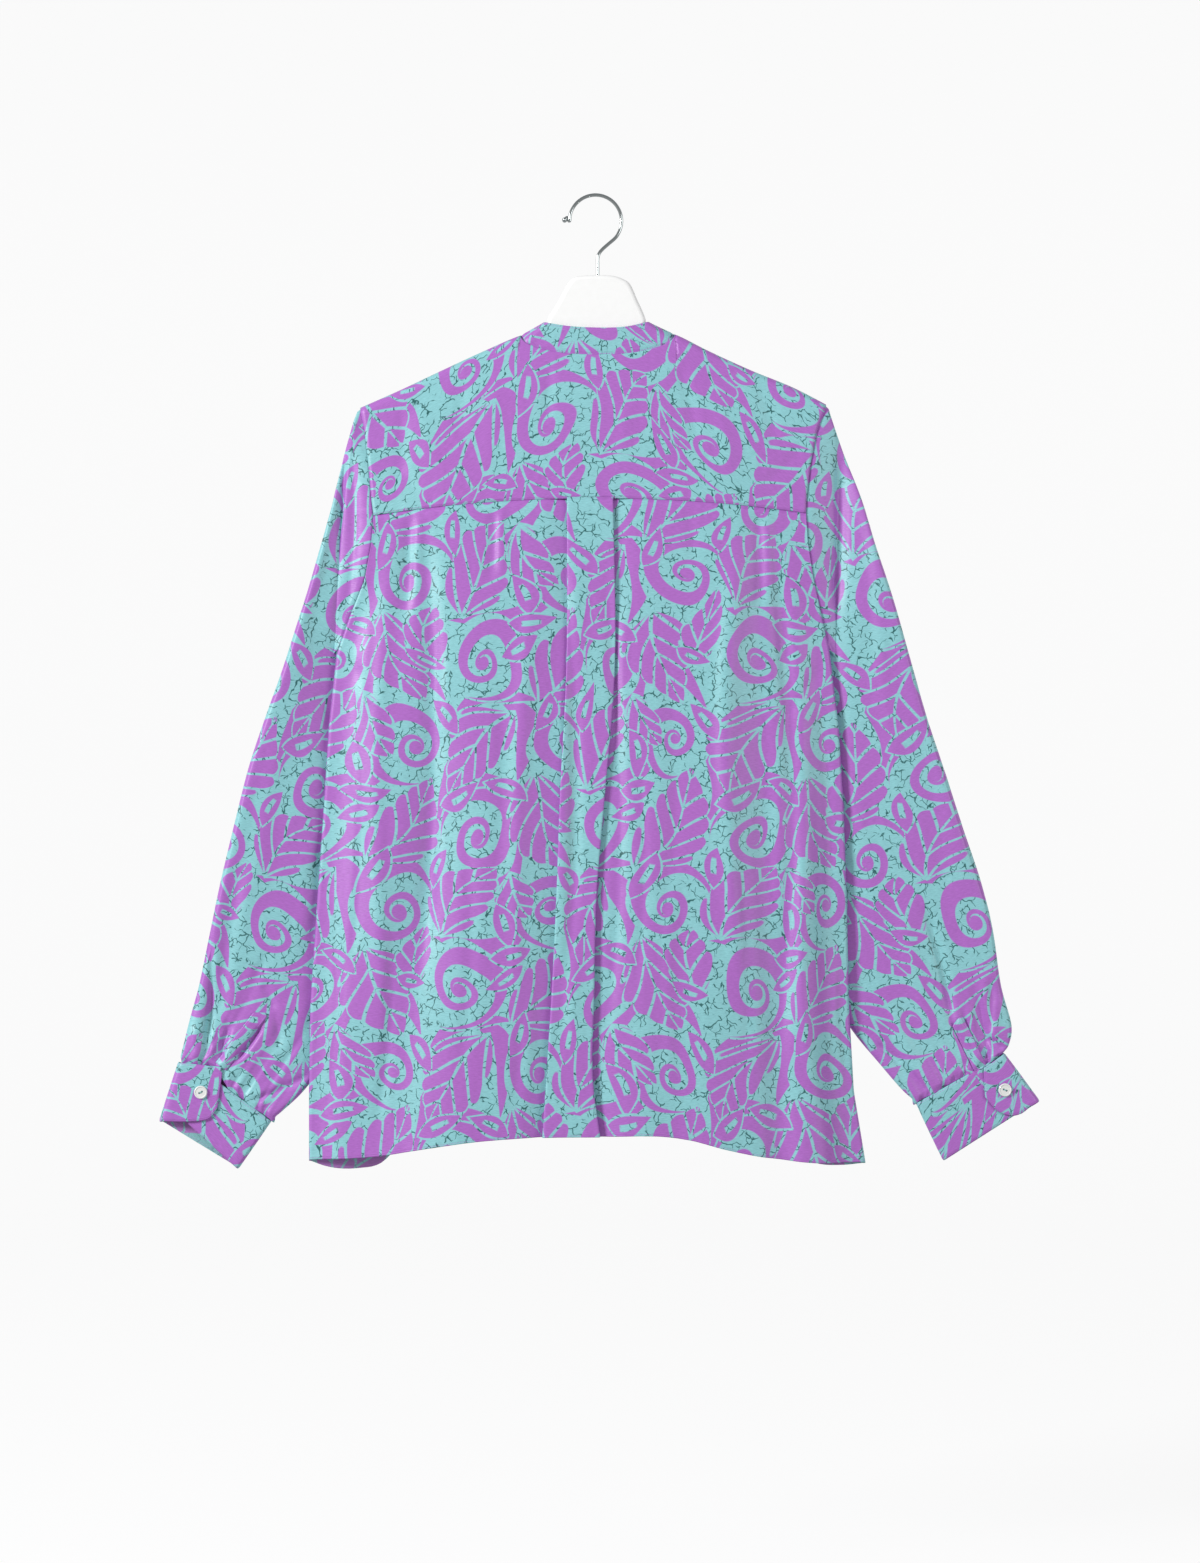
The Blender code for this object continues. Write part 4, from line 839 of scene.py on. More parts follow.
def sleeve_sheet(side, table, cuff, crease_table):
    """Finished ring grid and its flat coordinates."""
    rings = sleeve_rings(side, table, cuff)
    shift = SLEEVE_STEPS + 2  # the middle of the inner turn comes first
    rings = np.roll(rings, -shift, axis=1)
    fine = resample(resample(rings, SLEEVE_ROWS, 0), SLEEVE_COLUMNS, 1, ring=True)
    x, z = fine[..., 0], fine[..., 2]
    normal = outward(fine, True)
    near = normal[..., 1] < 0
    to_cuff = run_length(fine[::-1], 0)[::-1]
    outer = np.array(cuff["outer"][0])
    span = np.array(cuff["inner"][0]) - outer
    share = ((fine[..., [0, 2]] - outer) @ span) / np.sum(span**2)
    fold = sum(h * np.exp(-(((share - c) / w) ** 2)) for c, w, h in FINE_GATHERS)
    height = FINE_GATHER_SCALE * fold * np.exp(-to_cuff / 34) * ease(to_cuff / 2.5)
    hidden = creases(x + 8 * side, z + 14, crease_table) * FAR_WALL_SCALE
    height += np.where(near, creases(x, z, crease_table), hidden) * ease(to_cuff / 8)
    from_armhole = run_length(fine, 0)
    height += pucker(z * 1.2, from_armhole, 8, 0.3) * ease(from_armhole / 4)
    fine = fine + normal * height[..., None]
    # under the tab the near wall lies flat, and both walls run on a little way into the cuff
    tab = np.array(cuff["tab_top"]) - outer
    slope = tab / np.linalg.norm(tab)
    from_outer = fine[..., [0, 2]] - outer
    below_tab = (from_outer @ np.array([slope[1], -slope[0]])) * np.sign(slope[0])
    on_tab = ease((np.linalg.norm(tab) + HIDE - from_outer @ slope) / HIDE)
    flat = near * ease((below_tab + 1) / 2.5) * on_tab
    fine[..., 1] += np.maximum(0.25 - fine[..., 1], 0) * flat
    down = np.array([span[1] * side, -abs(span[0])]) / np.linalg.norm(span)
    tuck = ease(1 - to_cuff / 4.5)
    push = np.where(near, 2.2 - 2.0 * flat, -1.3)
    fine += np.stack([CUFF_DIP * tuck * down[0], push * tuck, CUFF_DIP * tuck * down[1]], -1)
    # at the armhole the edge lies just inside the body's cloth
    tuck = ease(1 - run_length(fine, 0) / 4)
    fine[..., 0] -= ARMHOLE_DIP * side * tuck
    fine[..., 1] -= 0.9 * np.sign(fine[..., 1]) * tuck
    axis = np.array([side * SLEEVE_AXIS[0], SLEEVE_AXIS[1]])
    cross = np.array([axis[1], -axis[0]])
    u = fine[..., [0, 2]] @ cross
    v = fine[..., [0, 2]] @ axis
    fold_at = (u.min(1) if side < 0 else u.max(1))[:, None]
    u_end = np.concatenate([u, u[:, :1]], 1)
    v_end = np.concatenate([v, v[:, :1]], 1)
    count = u_end.shape[1]
    first_half = np.arange(count)[None, :] < count // 2
    back_first = near[:, SLEEVE_COLUMNS // 4].mean() > 0.5
    on_near = first_half if back_first else ~first_half
    u_flat = np.where(on_near, u_end, 2 * fold_at - u_end)
    return fine, np.stack([u_flat, v_end], -1)


sleeves = {}
for word, side, table, cuff, marks in (
    ("left", -1, LEFT_SLEEVE, LEFT_CUFF, LEFT_SLEEVE_CREASES),
    ("right", 1, RIGHT_SLEEVE, RIGHT_CUFF, RIGHT_SLEEVE_CREASES),
):
    sleeves[word], uv = sleeve_sheet(side, table, cuff, marks)
    far_from_edge = np.full(sleeves[word].shape[:2], 50.0)
    cloth(f"sleeve_{word}_cloth", sleeves[word], uv, far_from_edge, f"sleeve_{word}", ring=True)

# %% [markdown]
# ## Cuff plackets
# The opening above the cuff is bound by a narrow strip on the side toward the viewer. It starts
# under the cuff's tab, runs aslant up the sleeve and ends in a point. It lies on the sleeve: its
# depth is read from the sleeve's own points. Shrinkwrap could lay it down too, and would need the
# sleeve's modifiers settled first.

# %% Plackets
# start across and up, end across and up, width, how much longer the pointed side is
PLACKET_SIZES = {"left": (-323, -748, -290.5, -705, 11.4, 6), "right": (340, -770, 311.5, -711, 11.5, 5)}


def depth_on(wall, x, z, blur=2.0):
    """Depth of the wall's near points about a place, weighted by exp(-(distance / blur)^2)."""
    points = wall[outward(wall, True)[..., 1] < -0.3]
    apart = (x[..., None] - points[:, 0]) ** 2 + (z[..., None] - points[:, 2]) ** 2
    weight = np.exp(-apart / blur**2) + 1e-12
    return (weight * points[:, 1]).sum(-1) / weight.sum(-1)


for word, side in (("left", -1), ("right", 1)):
    x0, z0, x1, z1, width, point = PLACKET_SIZES[word]
    g, f = np.meshgrid(np.linspace(0, 1, 16), np.linspace(0, 1, 48))
    length = math.hypot(x1 - x0, z1 - z0)
    ux, uz = (x1 - x0) / length, (z1 - z0) / length
    reach = f * (length + point * (1 - np.abs(g - 0.75) / 0.75))
    offset = (g - 0.5) * width * -side
    x, z = x0 + ux * reach - uz * offset * side, z0 + uz * reach + ux * offset * side
    from_end = reach.max(0) - reach
    edge = np.minimum(np.minimum(g, 1 - g) * width, from_end)
    lift = 0.5 + 0.75 * ease(reach / 16)
    y = depth_on(sleeves[word], x, z) - lift - 0.35 * quarter(np.minimum(edge, 1.2), 1.2)
    strip = np.stack([x, y - 0.2 * np.sin(reach / 5) * ease(edge / 3), z], -1)
    uv = np.stack([offset, reach], -1) + PRINT_START["placket"]
    cloth(f"placket_{word}_cloth", strip, uv, edge, f"placket_{word}", facing=(0, -1, 0))

# %% [markdown]
# ## Cuffs
# A cuff is one stiffened strip. It starts at the end of the button tab, runs out to the outer
# fold, back along the far side, round the inner fold, and ends under the tab. A bent cylinder could
# stand for it, but then the tab would have no free end and the strip no overlap.

# %% Cuffs
def folded(fold, away, start, end):
    """The three columns round one fold, which reaches just to the fold's line."""
    a = np.radians([-45, 0, 45])
    radius = abs(end - start) / 2
    inward = (away - fold) / np.linalg.norm(away - fold, axis=1)[:, None]
    place = fold + inward * (radius * (1 - np.cos(a)))[:, None, None]
    return place, (start + end) / 2 + (end - start) / 2 * np.sin(a)


def cuff_columns(cuff):
    """Top and bottom of each column, and its depth, from the tab round to the hidden end."""
    outer, inner, hidden = (np.array(cuff[k], float) for k in ("outer", "inner", "hidden"))
    tab_top = np.array(cuff["tab_top"], float)
    f = np.linspace(1, 0.1, 6)
    top = outer[0] + (tab_top - outer[0]) * f[:, None]
    low = np.stack([along(f, cuff["tab_edge"], 1), along(f, cuff["tab_edge"], 2)], -1)
    tab = np.stack([top, low], 1)
    out_turn, out_depth = folded(outer, inner, CUFF_TAB_DEPTH, CUFF_FAR_DEPTH)
    far = outer + (inner - outer) * np.linspace(0.06, 0.95, 6)[:, None, None]
    in_turn, in_depth = folded(inner, outer, CUFF_FAR_DEPTH, CUFF_HIDDEN_DEPTH)
    under = inner + (hidden - inner) * np.linspace(0.06, 1, 5)[:, None, None]
    ends = np.vstack([tab, out_turn, far, in_turn, under])
    depth = np.concatenate([np.full(6, CUFF_TAB_DEPTH), out_depth, np.full(6, CUFF_FAR_DEPTH), in_depth,
                            np.full(5, CUFF_HIDDEN_DEPTH)])
    return ends, depth


for word, side, cuff in (("left", -1, LEFT_CUFF), ("right", 1, RIGHT_CUFF)):
    ends, depth = cuff_columns(cuff)
    columns = np.dstack([ends[:, :, 0], np.repeat(depth[:, None], 2, 1), ends[:, :, 1]])
    columns = resample(columns, 200, 0)
    share = np.linspace(0, 1, 34)[:, None, None]
    sheet = columns[None, :, 0] + (columns[None, :, 1] - columns[None, :, 0]) * share
    along_cuff, down = run_length(sheet, 1), run_length(sheet, 0)
    edge = np.minimum(np.minimum(down, down[-1] - down), along_cuff)
    height = pucker(along_cuff, edge, 6, 0.3) * ease(edge / 3)
    height += 0.35 * np.sin(along_cuff / 17) * ease(down / 20)
    height += 0.5 * quarter(edge, 1.5)
    sheet = sheet + outward(sheet) * (0.6 * height)[..., None]
    uv = np.stack([along_cuff, -down], -1) + np.multiply(PRINT_START["cuff"], (side, 1))
    cloth(f"cuff_{word}_cloth", sheet, uv, edge, f"cuff_{word}")

# %% [markdown]
# ## Shell buttons
# A shell button is turned from mother of pearl: a rounded rim, a sunken middle and two drilled
# holes. The rim is a lathe form. The middle is a flat outline with two holes, given a thickness
# and a small bevel. Strands of thread cross from hole to hole. The holes could be cut by a boolean,
# but a 2D curve fills round them cleanly and bevels their rims as well.

# %% Tubes and flat outlines
def tube(path, radius, sides=16):
    """Rings of a wire round a path that lies in one plane; the radius may change along it."""
    path = np.asarray(path, float)
    along_path = np.gradient(path, axis=0)
    along_path /= np.linalg.norm(along_path, axis=1, keepdims=True)
    across = np.cross(along_path, [0.0, 1.0, 0.0])
    across /= np.linalg.norm(across, axis=1, keepdims=True)
    up = np.cross(across, along_path)
    a = np.arange(sides) * 2 * math.pi / sides
    spread = across[:, None] * np.cos(a)[:, None] + up[:, None] * np.sin(a)[:, None]
    return path[:, None] + spread * np.broadcast_to(radius, len(path))[:, None, None]


def lathe(profile, centre, sides=64):
    """A profile of radius and depth turned about the line of sight through the centre."""
    r, d = np.asarray(profile, float).T
    a = np.arange(sides) * 2 * math.pi / sides
    x, z = r[:, None] * np.cos(a), r[:, None] * np.sin(a)
    return np.stack([centre[0] + x, centre[1] + d[:, None] + 0 * x, centre[2] + z], -1)


def plate(name, outlines, half, bevel, centre):
    """A flat outline with holes, thickened and bevelled, as a mesh in metres in the XZ plane."""
    flat = bpy.data.curves.new(name, "CURVE")
    flat.dimensions = "2D"
    flat.fill_mode = "BOTH"
    flat.extrude, flat.bevel_depth, flat.bevel_resolution, flat.offset = half - bevel, bevel, 4, -bevel
    for outline in outlines:
        spline = flat.splines.new("POLY")
        spline.points.add(len(outline) - 1)
        four = np.zeros((len(outline), 4))
        four[:, :2], four[:, 3] = outline, 1
        spline.points.foreach_set("co", four.ravel())
        spline.use_cyclic_u = True
    holder = bpy.data.objects.new(name, flat)
    bpy.context.scene.collection.objects.link(holder)
    mesh = bpy.data.meshes.new_from_object(holder.evaluated_get(bpy.context.evaluated_depsgraph_get()))
    bpy.data.objects.remove(holder)
    points = np.zeros(len(mesh.vertices) * 3)
    mesh.vertices.foreach_get("co", points)
    points = points.reshape(-1, 3)
    moved = np.stack([points[:, 0], -points[:, 2], points[:, 1]], -1) + centre
    mesh.vertices.foreach_set("co", (moved * MM).ravel())
    mesh.update()
    mesh.shade_smooth()
    mesh.set_sharp_from_angle(angle=math.radians(40))
    return mesh


def circle(radius, count, x=0.0, y=0.0):
    """Even points at (x + r cos a, y + r sin a)."""
    a = np.arange(count) * 2 * math.pi / count
    return np.stack([x + radius * np.cos(a), y + radius * np.sin(a)], -1)


print("tube of 5 rings:", tube([(0, 0, k) for k in range(5)], 1.0).shape)

# %% Buttons
BUTTON_RADIUS, BUTTON_THICK, HOLE_RADIUS, HOLE_STEP = 5.75, 2.2, 0.78, 1.35
RIM_ROUND, MIDDLE_RADIUS, MIDDLE_HALF, MIDDLE_BEVEL = 1.1, 4.5, 0.7, 0.2
THREAD_RADIUS, STRAND_STEP = 0.17, 0.34
HALF_WALL = 0.6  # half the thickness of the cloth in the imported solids
a = np.linspace(-math.pi / 2, math.pi / 2, 9)
RIM = np.concatenate([
    [(4.2, 0.7), (4.5, 1.0)],
    np.stack([BUTTON_RADIUS - RIM_ROUND + RIM_ROUND * np.cos(-a), RIM_ROUND * np.sin(-a)], -1),
    [(4.5, -0.95), (4.15, -0.72), (3.9, -0.4)],
])
CUFF_BUTTONS = {"left": (-340, -770), "right": (351, -768)}
FRONT_BUTTONS = (-193, -232, -318, -404, -490, -576, -662, -748)
buttons, threads = [], []


def button(name, centre, facing, angle):
    """Rim, middle with two holes and three strands of thread; facing is -1 toward the viewer."""
    centre = np.array(centre, float)
    rim_grid = lathe(RIM * [1, -facing], centre)
    rim = place(f"{name}_rim", mesh_of(f"{name}_rim", rim_grid, ring=True), "shell", name)
    c, s = math.cos(angle), math.sin(angle)
    holes = [circle(HOLE_RADIUS, 20, k * HOLE_STEP * c, k * HOLE_STEP * s) for k in (-1, 1)]
    disc = plate(name, [circle(MIDDLE_RADIUS, 64), *holes], MIDDLE_HALF, MIDDLE_BEVEL, centre)
    middle = place(f"{name}_middle", disc, "shell", name)
    buttons.extend([rim, middle])
    for k in (-1, 0, 1):
        f = np.linspace(-1, 1, 15)
        rise = facing * (0.75 + 0.35 * np.sqrt(np.clip(1 - f**4, 0, 1)) - 1.4 * np.abs(f) ** 9)
        side = STRAND_STEP * k * (1 + 0.15 * k)
        path = centre + np.stack([f * HOLE_STEP * c - side * s, rise, f * HOLE_STEP * s + side * c], -1)
        wire = mesh_of(name, tube(path, THREAD_RADIUS, 8), ring=True)
        strand = place(f"{name}_thread_{k + 2}", wire, "shell")
        threads.append(strand)


for word, (x, z) in CUFF_BUTTONS.items():
    depth = CUFF_TAB_DEPTH - HALF_WALL - SEAM - BUTTON_THICK / 2
    button(f"cuff_button_{word}", (x, depth, z), -1, 0.5 if word == "left" else -0.4)
for number, z in enumerate(FRONT_BUTTONS, 1):
    depth = RIDGE_RADIUS + LAP_DEPTH + HALF_WALL + HALF_WALL + SEAM + BUTTON_THICK / 2
    button(f"front_button_{number}", (0, depth, z), 1, math.pi / 2 + 0.1 * math.sin(5 * number))
print("pieces of the buttons:", len(buttons), "strands:", len(threads))

# %% [markdown]
# ## Hanger
# The hanger is moulded in one piece: a broad neck block that fills the collar, and two arms that
# slope like shoulders. Its outline is drawn flat, thickened and rounded over, as a mould for such a
# hanger is. A curve does for both, the straight arms and the round shoulders of the block.

# %% Hanger
HANGER_HALF, HANGER_SINK, HANGER_END, EDGE_ROUND = 5.9, 1.4, 197.0, 3.6
ARM_START, BLOCK_LOW, BLOCK_RISE, BLOCK_HALF = 92, -166, 0.06, 46
HANGER_BLOCK = (
    (-80, -132.5), (-66, -129), (-54, -122.5), (-46, -117), (-42.2, -113), (-41.8, -105), (-35, -94),
    (-25, -76), (-19, -70), (-10, -68.4), (1, -68), (13, -68.4), (22, -71), (29, -76), (35, -89),
    (42, -105), (42.4, -113), (48, -117.5), (56, -123), (68, -129), (80, -132.5),
)
ARM_HEIGHTS = ((0, 97), (30, 84), (46, 52), (80, 36), (130, 28), (175, 18), (197, 12.4))


def smooth_line(points, count):
    """Dense points on a spline through a short list, spread evenly by number."""
    return resample(np.array(points, float), count, 0)


arm_x = np.linspace(-HANGER_END + 1, -ARM_START, 40)
left_arm = np.stack([arm_x, along(arm_x, SHOULDER) - HANGER_SINK], -1)
arm_x = np.linspace(ARM_START, HANGER_END - 7, 40)
right_arm = np.stack([arm_x, along(arm_x, SHOULDER) - HANGER_SINK], -1)
upper = np.vstack([left_arm, smooth_line(HANGER_BLOCK, 160), right_arm])
low_x = np.linspace(HANGER_END - 7, -HANGER_END + 1, 160)
arm_low = along(low_x, SHOULDER) - HANGER_SINK - straight(np.abs(low_x), ARM_HEIGHTS)
block_low = BLOCK_LOW + BLOCK_RISE * np.abs(low_x)
lower = np.stack([low_x, np.where(np.abs(low_x) < BLOCK_HALF, block_low, arm_low)], -1)
kernel = np.ones(9) / 9
lower[4:-4, 1] = np.convolve(lower[:, 1], kernel, "valid")
body = plate("hanger_shape", [np.vstack([upper, lower])], HANGER_HALF, EDGE_ROUND, np.zeros(3))
hanger = place("hanger_shape", body, "hanger_plastic", "hanger_body")
print("hanger outline points:", len(upper) + len(lower))

# %% [markdown]
# ## Hook
# The hook is a bent wire with a small knob on its end, so that it can't scratch. It rises from the
# neck block, leans aside and turns over. A curve with a round bevel gives such a wire too. Here the
# rings are worked out along the path, so that the radius can swell into the knob.

# %% Hook
WIRE_RADIUS, KNOB_RADIUS, HOOK_RADIUS, HOOK_CENTRE = 1.5, 2.3, 22.4, (-0.9, -21.1)
turn = np.radians(np.arange(-30, 181, 15))
bend = HOOK_CENTRE + HOOK_RADIUS * np.stack([np.cos(turn), np.sin(turn)], -1)
route = np.vstack([
    [(1, -72), (1, -67), (1, -60), (1, -54), (1.8, -50), (4.5, -46), (10, -41), (15.5, -36.3)], bend,
    [(-25.2, -18.2), (-27.4, -20.2), (-29.2, -21.6)],
])
route = resample(route, 260, 0)
route = np.stack([route[:, 0], 0 * route[:, 0], route[:, 1]], -1)
left = run_length(route, 0)[-1] - run_length(route, 0)
ball = np.sqrt(np.clip(KNOB_RADIUS**2 - (left - KNOB_RADIUS) ** 2, 0.0004, None))
knob = np.maximum(ball, np.where(left > KNOB_RADIUS, WIRE_RADIUS, 0))
radius = np.where(left < 2 * KNOB_RADIUS, knob, WIRE_RADIUS)
hook = place("hook_wire", mesh_of("hook_wire", tube(route, radius, 32), ring=True), "hook_metal", "hook")
print("hook wire", round(float(run_length(route, 0)[-1])), "mm long")

# %% [markdown]
# ## Building shader nodes
# The finishes are node groups with named inputs and outputs. Short helpers build them: they make or
# place a group, add a math, texture or mixing node, and link or set a socket. The same nodes could
# be set up by hand in the shader editor, but a print of many motifs needs hundreds of them.

# %% Node helpers
def feed(tree, socket, value):
    """Link a socket to another, or set its constant."""
    if isinstance(value, bpy.types.NodeSocket):
        tree.links.new(value, socket)
    elif value is not None:
        socket.default_value = value


def op(tree, operation, *values, clamp=False):
    """A Math node; gives its output socket."""
    node = tree.nodes.new("ShaderNodeMath")
    node.operation, node.use_clamp = operation, clamp
    for socket, value in zip(node.inputs, values):
        feed(tree, socket, value)
    return node.outputs[0]


def vec(tree, operation, *values, out=0):
    """A Vector Math node; out is 1 for a result that is one number."""
    node = tree.nodes.new("ShaderNodeVectorMath")
    node.operation = operation
    for socket, value in zip(node.inputs, values):
        feed(tree, socket, value)
    return node.outputs[out]


def texture(tree, kind, vector, **settings):
    """A texture node on a vector; capitalised settings are sockets, the others properties."""
    node = tree.nodes.new(kind)
    for key, value in settings.items():
        if key[0].isupper():
            feed(tree, node.inputs[key], value)
        else:
            setattr(node, key, value)
    feed(tree, node.inputs["Vector"], vector)
    return node


def mix(tree, factor, first, second, blend="MIX"):
    """A colour mix; gives its output socket."""
    node = tree.nodes.new("ShaderNodeMix")
    node.data_type, node.blend_type = "RGBA", blend
    feed(tree, node.inputs[0], factor)
    feed(tree, node.inputs[6], first)
    feed(tree, node.inputs[7], second)
    return node.outputs[2]


def new_group(name, inputs, outputs):
    """An empty group: its tree, its input sockets by name and a function that sets an output."""
    tree = bpy.data.node_groups.new(name, "ShaderNodeTree")
    for label, kind, value in inputs:
        socket = tree.interface.new_socket(label, in_out="INPUT", socket_type=kind)
        if value is not None:
            socket.default_value = value
    for label, kind in outputs:
        tree.interface.new_socket(label, in_out="OUTPUT", socket_type=kind)
    enter, leave = tree.nodes.new("NodeGroupInput"), tree.nodes.new("NodeGroupOutput")
    return tree, enter.outputs, lambda label, value: tree.links.new(value, leave.inputs[label])


def use(tree, group, **values):
    """A group inside another tree; underscores in the names stand for spaces."""
    node = tree.nodes.new("ShaderNodeGroup")
    node.node_tree = group
    for label, value in values.items():
        feed(tree, node.inputs[label.replace("_", " ")], value)
    return node.outputs


FLOAT, VECTOR = "NodeSocketFloat", "NodeSocketVector"
print("helpers ready")

# %% [markdown]
# ## Motifs of the print
# The cloth is printed in two dyes from a screen with leaves, drops, bent fronds and scrolls. Each
# motif is a formula in its own frame, where 1 is its length or radius. It clears a thin outline
# round itself, so that it seems to lie on what was drawn before. All share a rim of half a
# millimetre, as dye spreads a little in the thread. The print could be painted on an image. As
# formulas it stays sharp at any distance and needs no file.

# %% Leaf, drop and frond
DYE_SPREAD = 0.5  # mm over which an edge goes from one dye to the other
OUTLINE = 1.5  # mm cleared round a motif
VEIN_HALF, RIB_HALF = 0.6, 0.75  # mm, half the width of a side vein and of the midrib
VEIN_LEAN, RIB_TAPER = 0.6, 1.3
SLIT_SHARE, SLIT_MIDDLE, SLIT_HALF_SQUARED = 0.34, 0.52, 0.045  # of a drop's half width and length


def blade(name, kind):
    """Half width 4wb(1 + skew*y) with b = y(1 - y), cut by a midrib and side veins or by a slit."""
    numbers = ("Across", "Along", "Under", "Length", "Half Width", "Bend", "Skew", "Veins", "Slope", "Lobe")
    tree, given, give = new_group(name, [(n, FLOAT, 0.5) for n in numbers], [("Mask", FLOAT)])
    y, length = given["Along"], given["Length"]
    sharp = op(tree, "DIVIDE", length, DYE_SPREAD)
    hump = op(tree, "MULTIPLY", y, op(tree, "SUBTRACT", 1.0, y))
    across = op(tree, "ABSOLUTE", op(tree, "MULTIPLY_ADD", given["Bend"], hump, given["Across"]))
    taper = op(tree, "MAXIMUM", op(tree, "MULTIPLY_ADD", given["Skew"], y, 1.0), 0.1)
    widest = op(tree, "MULTIPLY", given["Half Width"], taper)
    half = op(tree, "MULTIPLY", op(tree, "MULTIPLY", hump, 4.0), widest)
    cut = None
    if kind == "leaf":
        rise = op(tree, "SUBTRACT", y, op(tree, "MULTIPLY", across, given["Slope"]))
        vein = op(tree, "PINGPONG", op(tree, "MULTIPLY", rise, given["Veins"]), 0.5)
        bulge = op(tree, "MULTIPLY", vein, op(tree, "SUBTRACT", 1.0, vein))
        lobe = op(tree, "MULTIPLY_ADD", given["Lobe"], op(tree, "MULTIPLY_ADD", bulge, 4.0, -1.0), 1.0)
        half = op(tree, "MULTIPLY", half, lobe)
        from_vein = op(tree, "DIVIDE", op(tree, "MULTIPLY", vein, VEIN_LEAN), given["Veins"])
        scaled = op(tree, "MULTIPLY", from_vein, sharp)
        vein_line = op(tree, "SUBTRACT", scaled, VEIN_HALF / DYE_SPREAD, clamp=True)
        rib = op(tree, "MULTIPLY", op(tree, "SUBTRACT", RIB_TAPER, y), RIB_HALF / DYE_SPREAD)
        rib_line = op(tree, "SUBTRACT", op(tree, "MULTIPLY", across, sharp), rib, clamp=True)
        cut = op(tree, "MINIMUM", vein_line, rib_line)
    if kind == "drop":
        middle = op(tree, "SUBTRACT", op(tree, "MULTIPLY", half, SLIT_SHARE), across)
        from_middle = op(tree, "SUBTRACT", y, SLIT_MIDDLE)
        ends = op(tree, "SUBTRACT", SLIT_HALF_SQUARED, op(tree, "POWER", from_middle, 2.0))
        slit = op(tree, "MULTIPLY", op(tree, "MINIMUM", middle, ends), sharp, clamp=True)
        cut = op(tree, "SUBTRACT", 1.0, slit)
    reach = op(tree, "MULTIPLY", op(tree, "SUBTRACT", half, across), sharp)
    paint = op(tree, "MINIMUM", reach, 1.0 if cut is None else cut, clamp=True)
    clear = op(tree, "SUBTRACT", 1.0, op(tree, "ADD", reach, OUTLINE / DYE_SPREAD, clamp=True))
    give("Mask", op(tree, "MAXIMUM", op(tree, "MULTIPLY", given["Under"], clear), paint))
    return tree


BLADES = {kind: blade(f"Print {kind}", kind) for kind in ("leaf", "drop", "frond")}
print("nodes in a leaf:", len(BLADES["leaf"].nodes))

# %% Scroll
BULB = 0.16  # radius of the scroll's bulb, as a share of the scroll's


def scroll_group():
    """Band where ln(r)/ln(ratio) + angle/2pi is near a whole number, inside r = 1, with a bulb."""
    numbers = ("X", "Y", "Under", "Radius", "Ratio", "Band", "Phase")
    tree, given, give = new_group("Print scroll", [(n, FLOAT, 0.5) for n in numbers], [("Mask", FLOAT)])
    x, y = given["X"], given["Y"]
    sharp = op(tree, "DIVIDE", given["Radius"], DYE_SPREAD)
    r = op(tree, "SQRT", op(tree, "MULTIPLY_ADD", x, x, op(tree, "MULTIPLY", y, y)))
    angle = op(tree, "MULTIPLY_ADD", op(tree, "ARCTAN2", y, x), 1 / (2 * math.pi), given["Phase"])
    turns = op(tree, "ADD", op(tree, "LOGARITHM", r, given["Ratio"]), angle)
    inside = op(tree, "SUBTRACT", given["Band"], op(tree, "PINGPONG", turns, 0.5))
    band = op(tree, "MULTIPLY", op(tree, "MULTIPLY", inside, r), sharp)
    disc = op(tree, "MULTIPLY", op(tree, "SUBTRACT", 1.0, r), sharp)
    bulb = op(tree, "MULTIPLY", op(tree, "SUBTRACT", BULB, r), sharp)
    paint = op(tree, "MAXIMUM", op(tree, "MINIMUM", band, disc), bulb, clamp=True)
    clear = op(tree, "SUBTRACT", 1.0, op(tree, "ADD", disc, OUTLINE / DYE_SPREAD, clamp=True))
    give("Mask", op(tree, "MAXIMUM", op(tree, "MULTIPLY", given["Under"], clear), paint))
    return tree


SCROLL = scroll_group()
print("nodes in a scroll:", len(SCROLL.nodes))

# %% [markdown]
# ## The repeat
# The screen repeats every 140 mm across and 282 mm down, and each column is dropped by half. The
# motifs are drawn in a frame of 112 by 226 and enlarged with it. A shear turns that half drop into
# a plain grid, so one wrap of the coordinates brings every repeat of a motif to its own window.
# Placing each motif once for every repeat would show the same and take many times the nodes.

# %% Motif table
REPEAT_ACROSS, REPEAT_DOWN, ENLARGED = 112.0, 226.0, 1.25
LEAF_SLOPE, LEAF_LOBE = 1.3, 0.2  # rise of the side veins, depth of the scallops between them
# kind, base across, base up, direction, length, half width, bend, skew, veins
BLADE_TABLE_UNDER = (
    ("frond", 2, 62, 14, 80, 0.09, 0.8, 0, 0),
    ("frond", 60, 66, 80, 80, 0.09, -0.8, 0, 0),
    ("frond", 112, 112, 160, 74, 0.09, 0.8, 0, 0),
    ("frond", 54, 168, 110, 76, 0.1, 0.9, 0, 0),
    ("frond", 2, 172, -24, 66, 0.09, -0.8, 0, 0),
    ("frond", 66, 2, 196, 66, 0.09, 0.8, 0, 0),
    ("frond", 108, 28, 92, 66, 0.1, 0.7, 0, 0),
    ("frond", 62, 150, 10, 60, 0.1, 0.6, 0, 0),
)
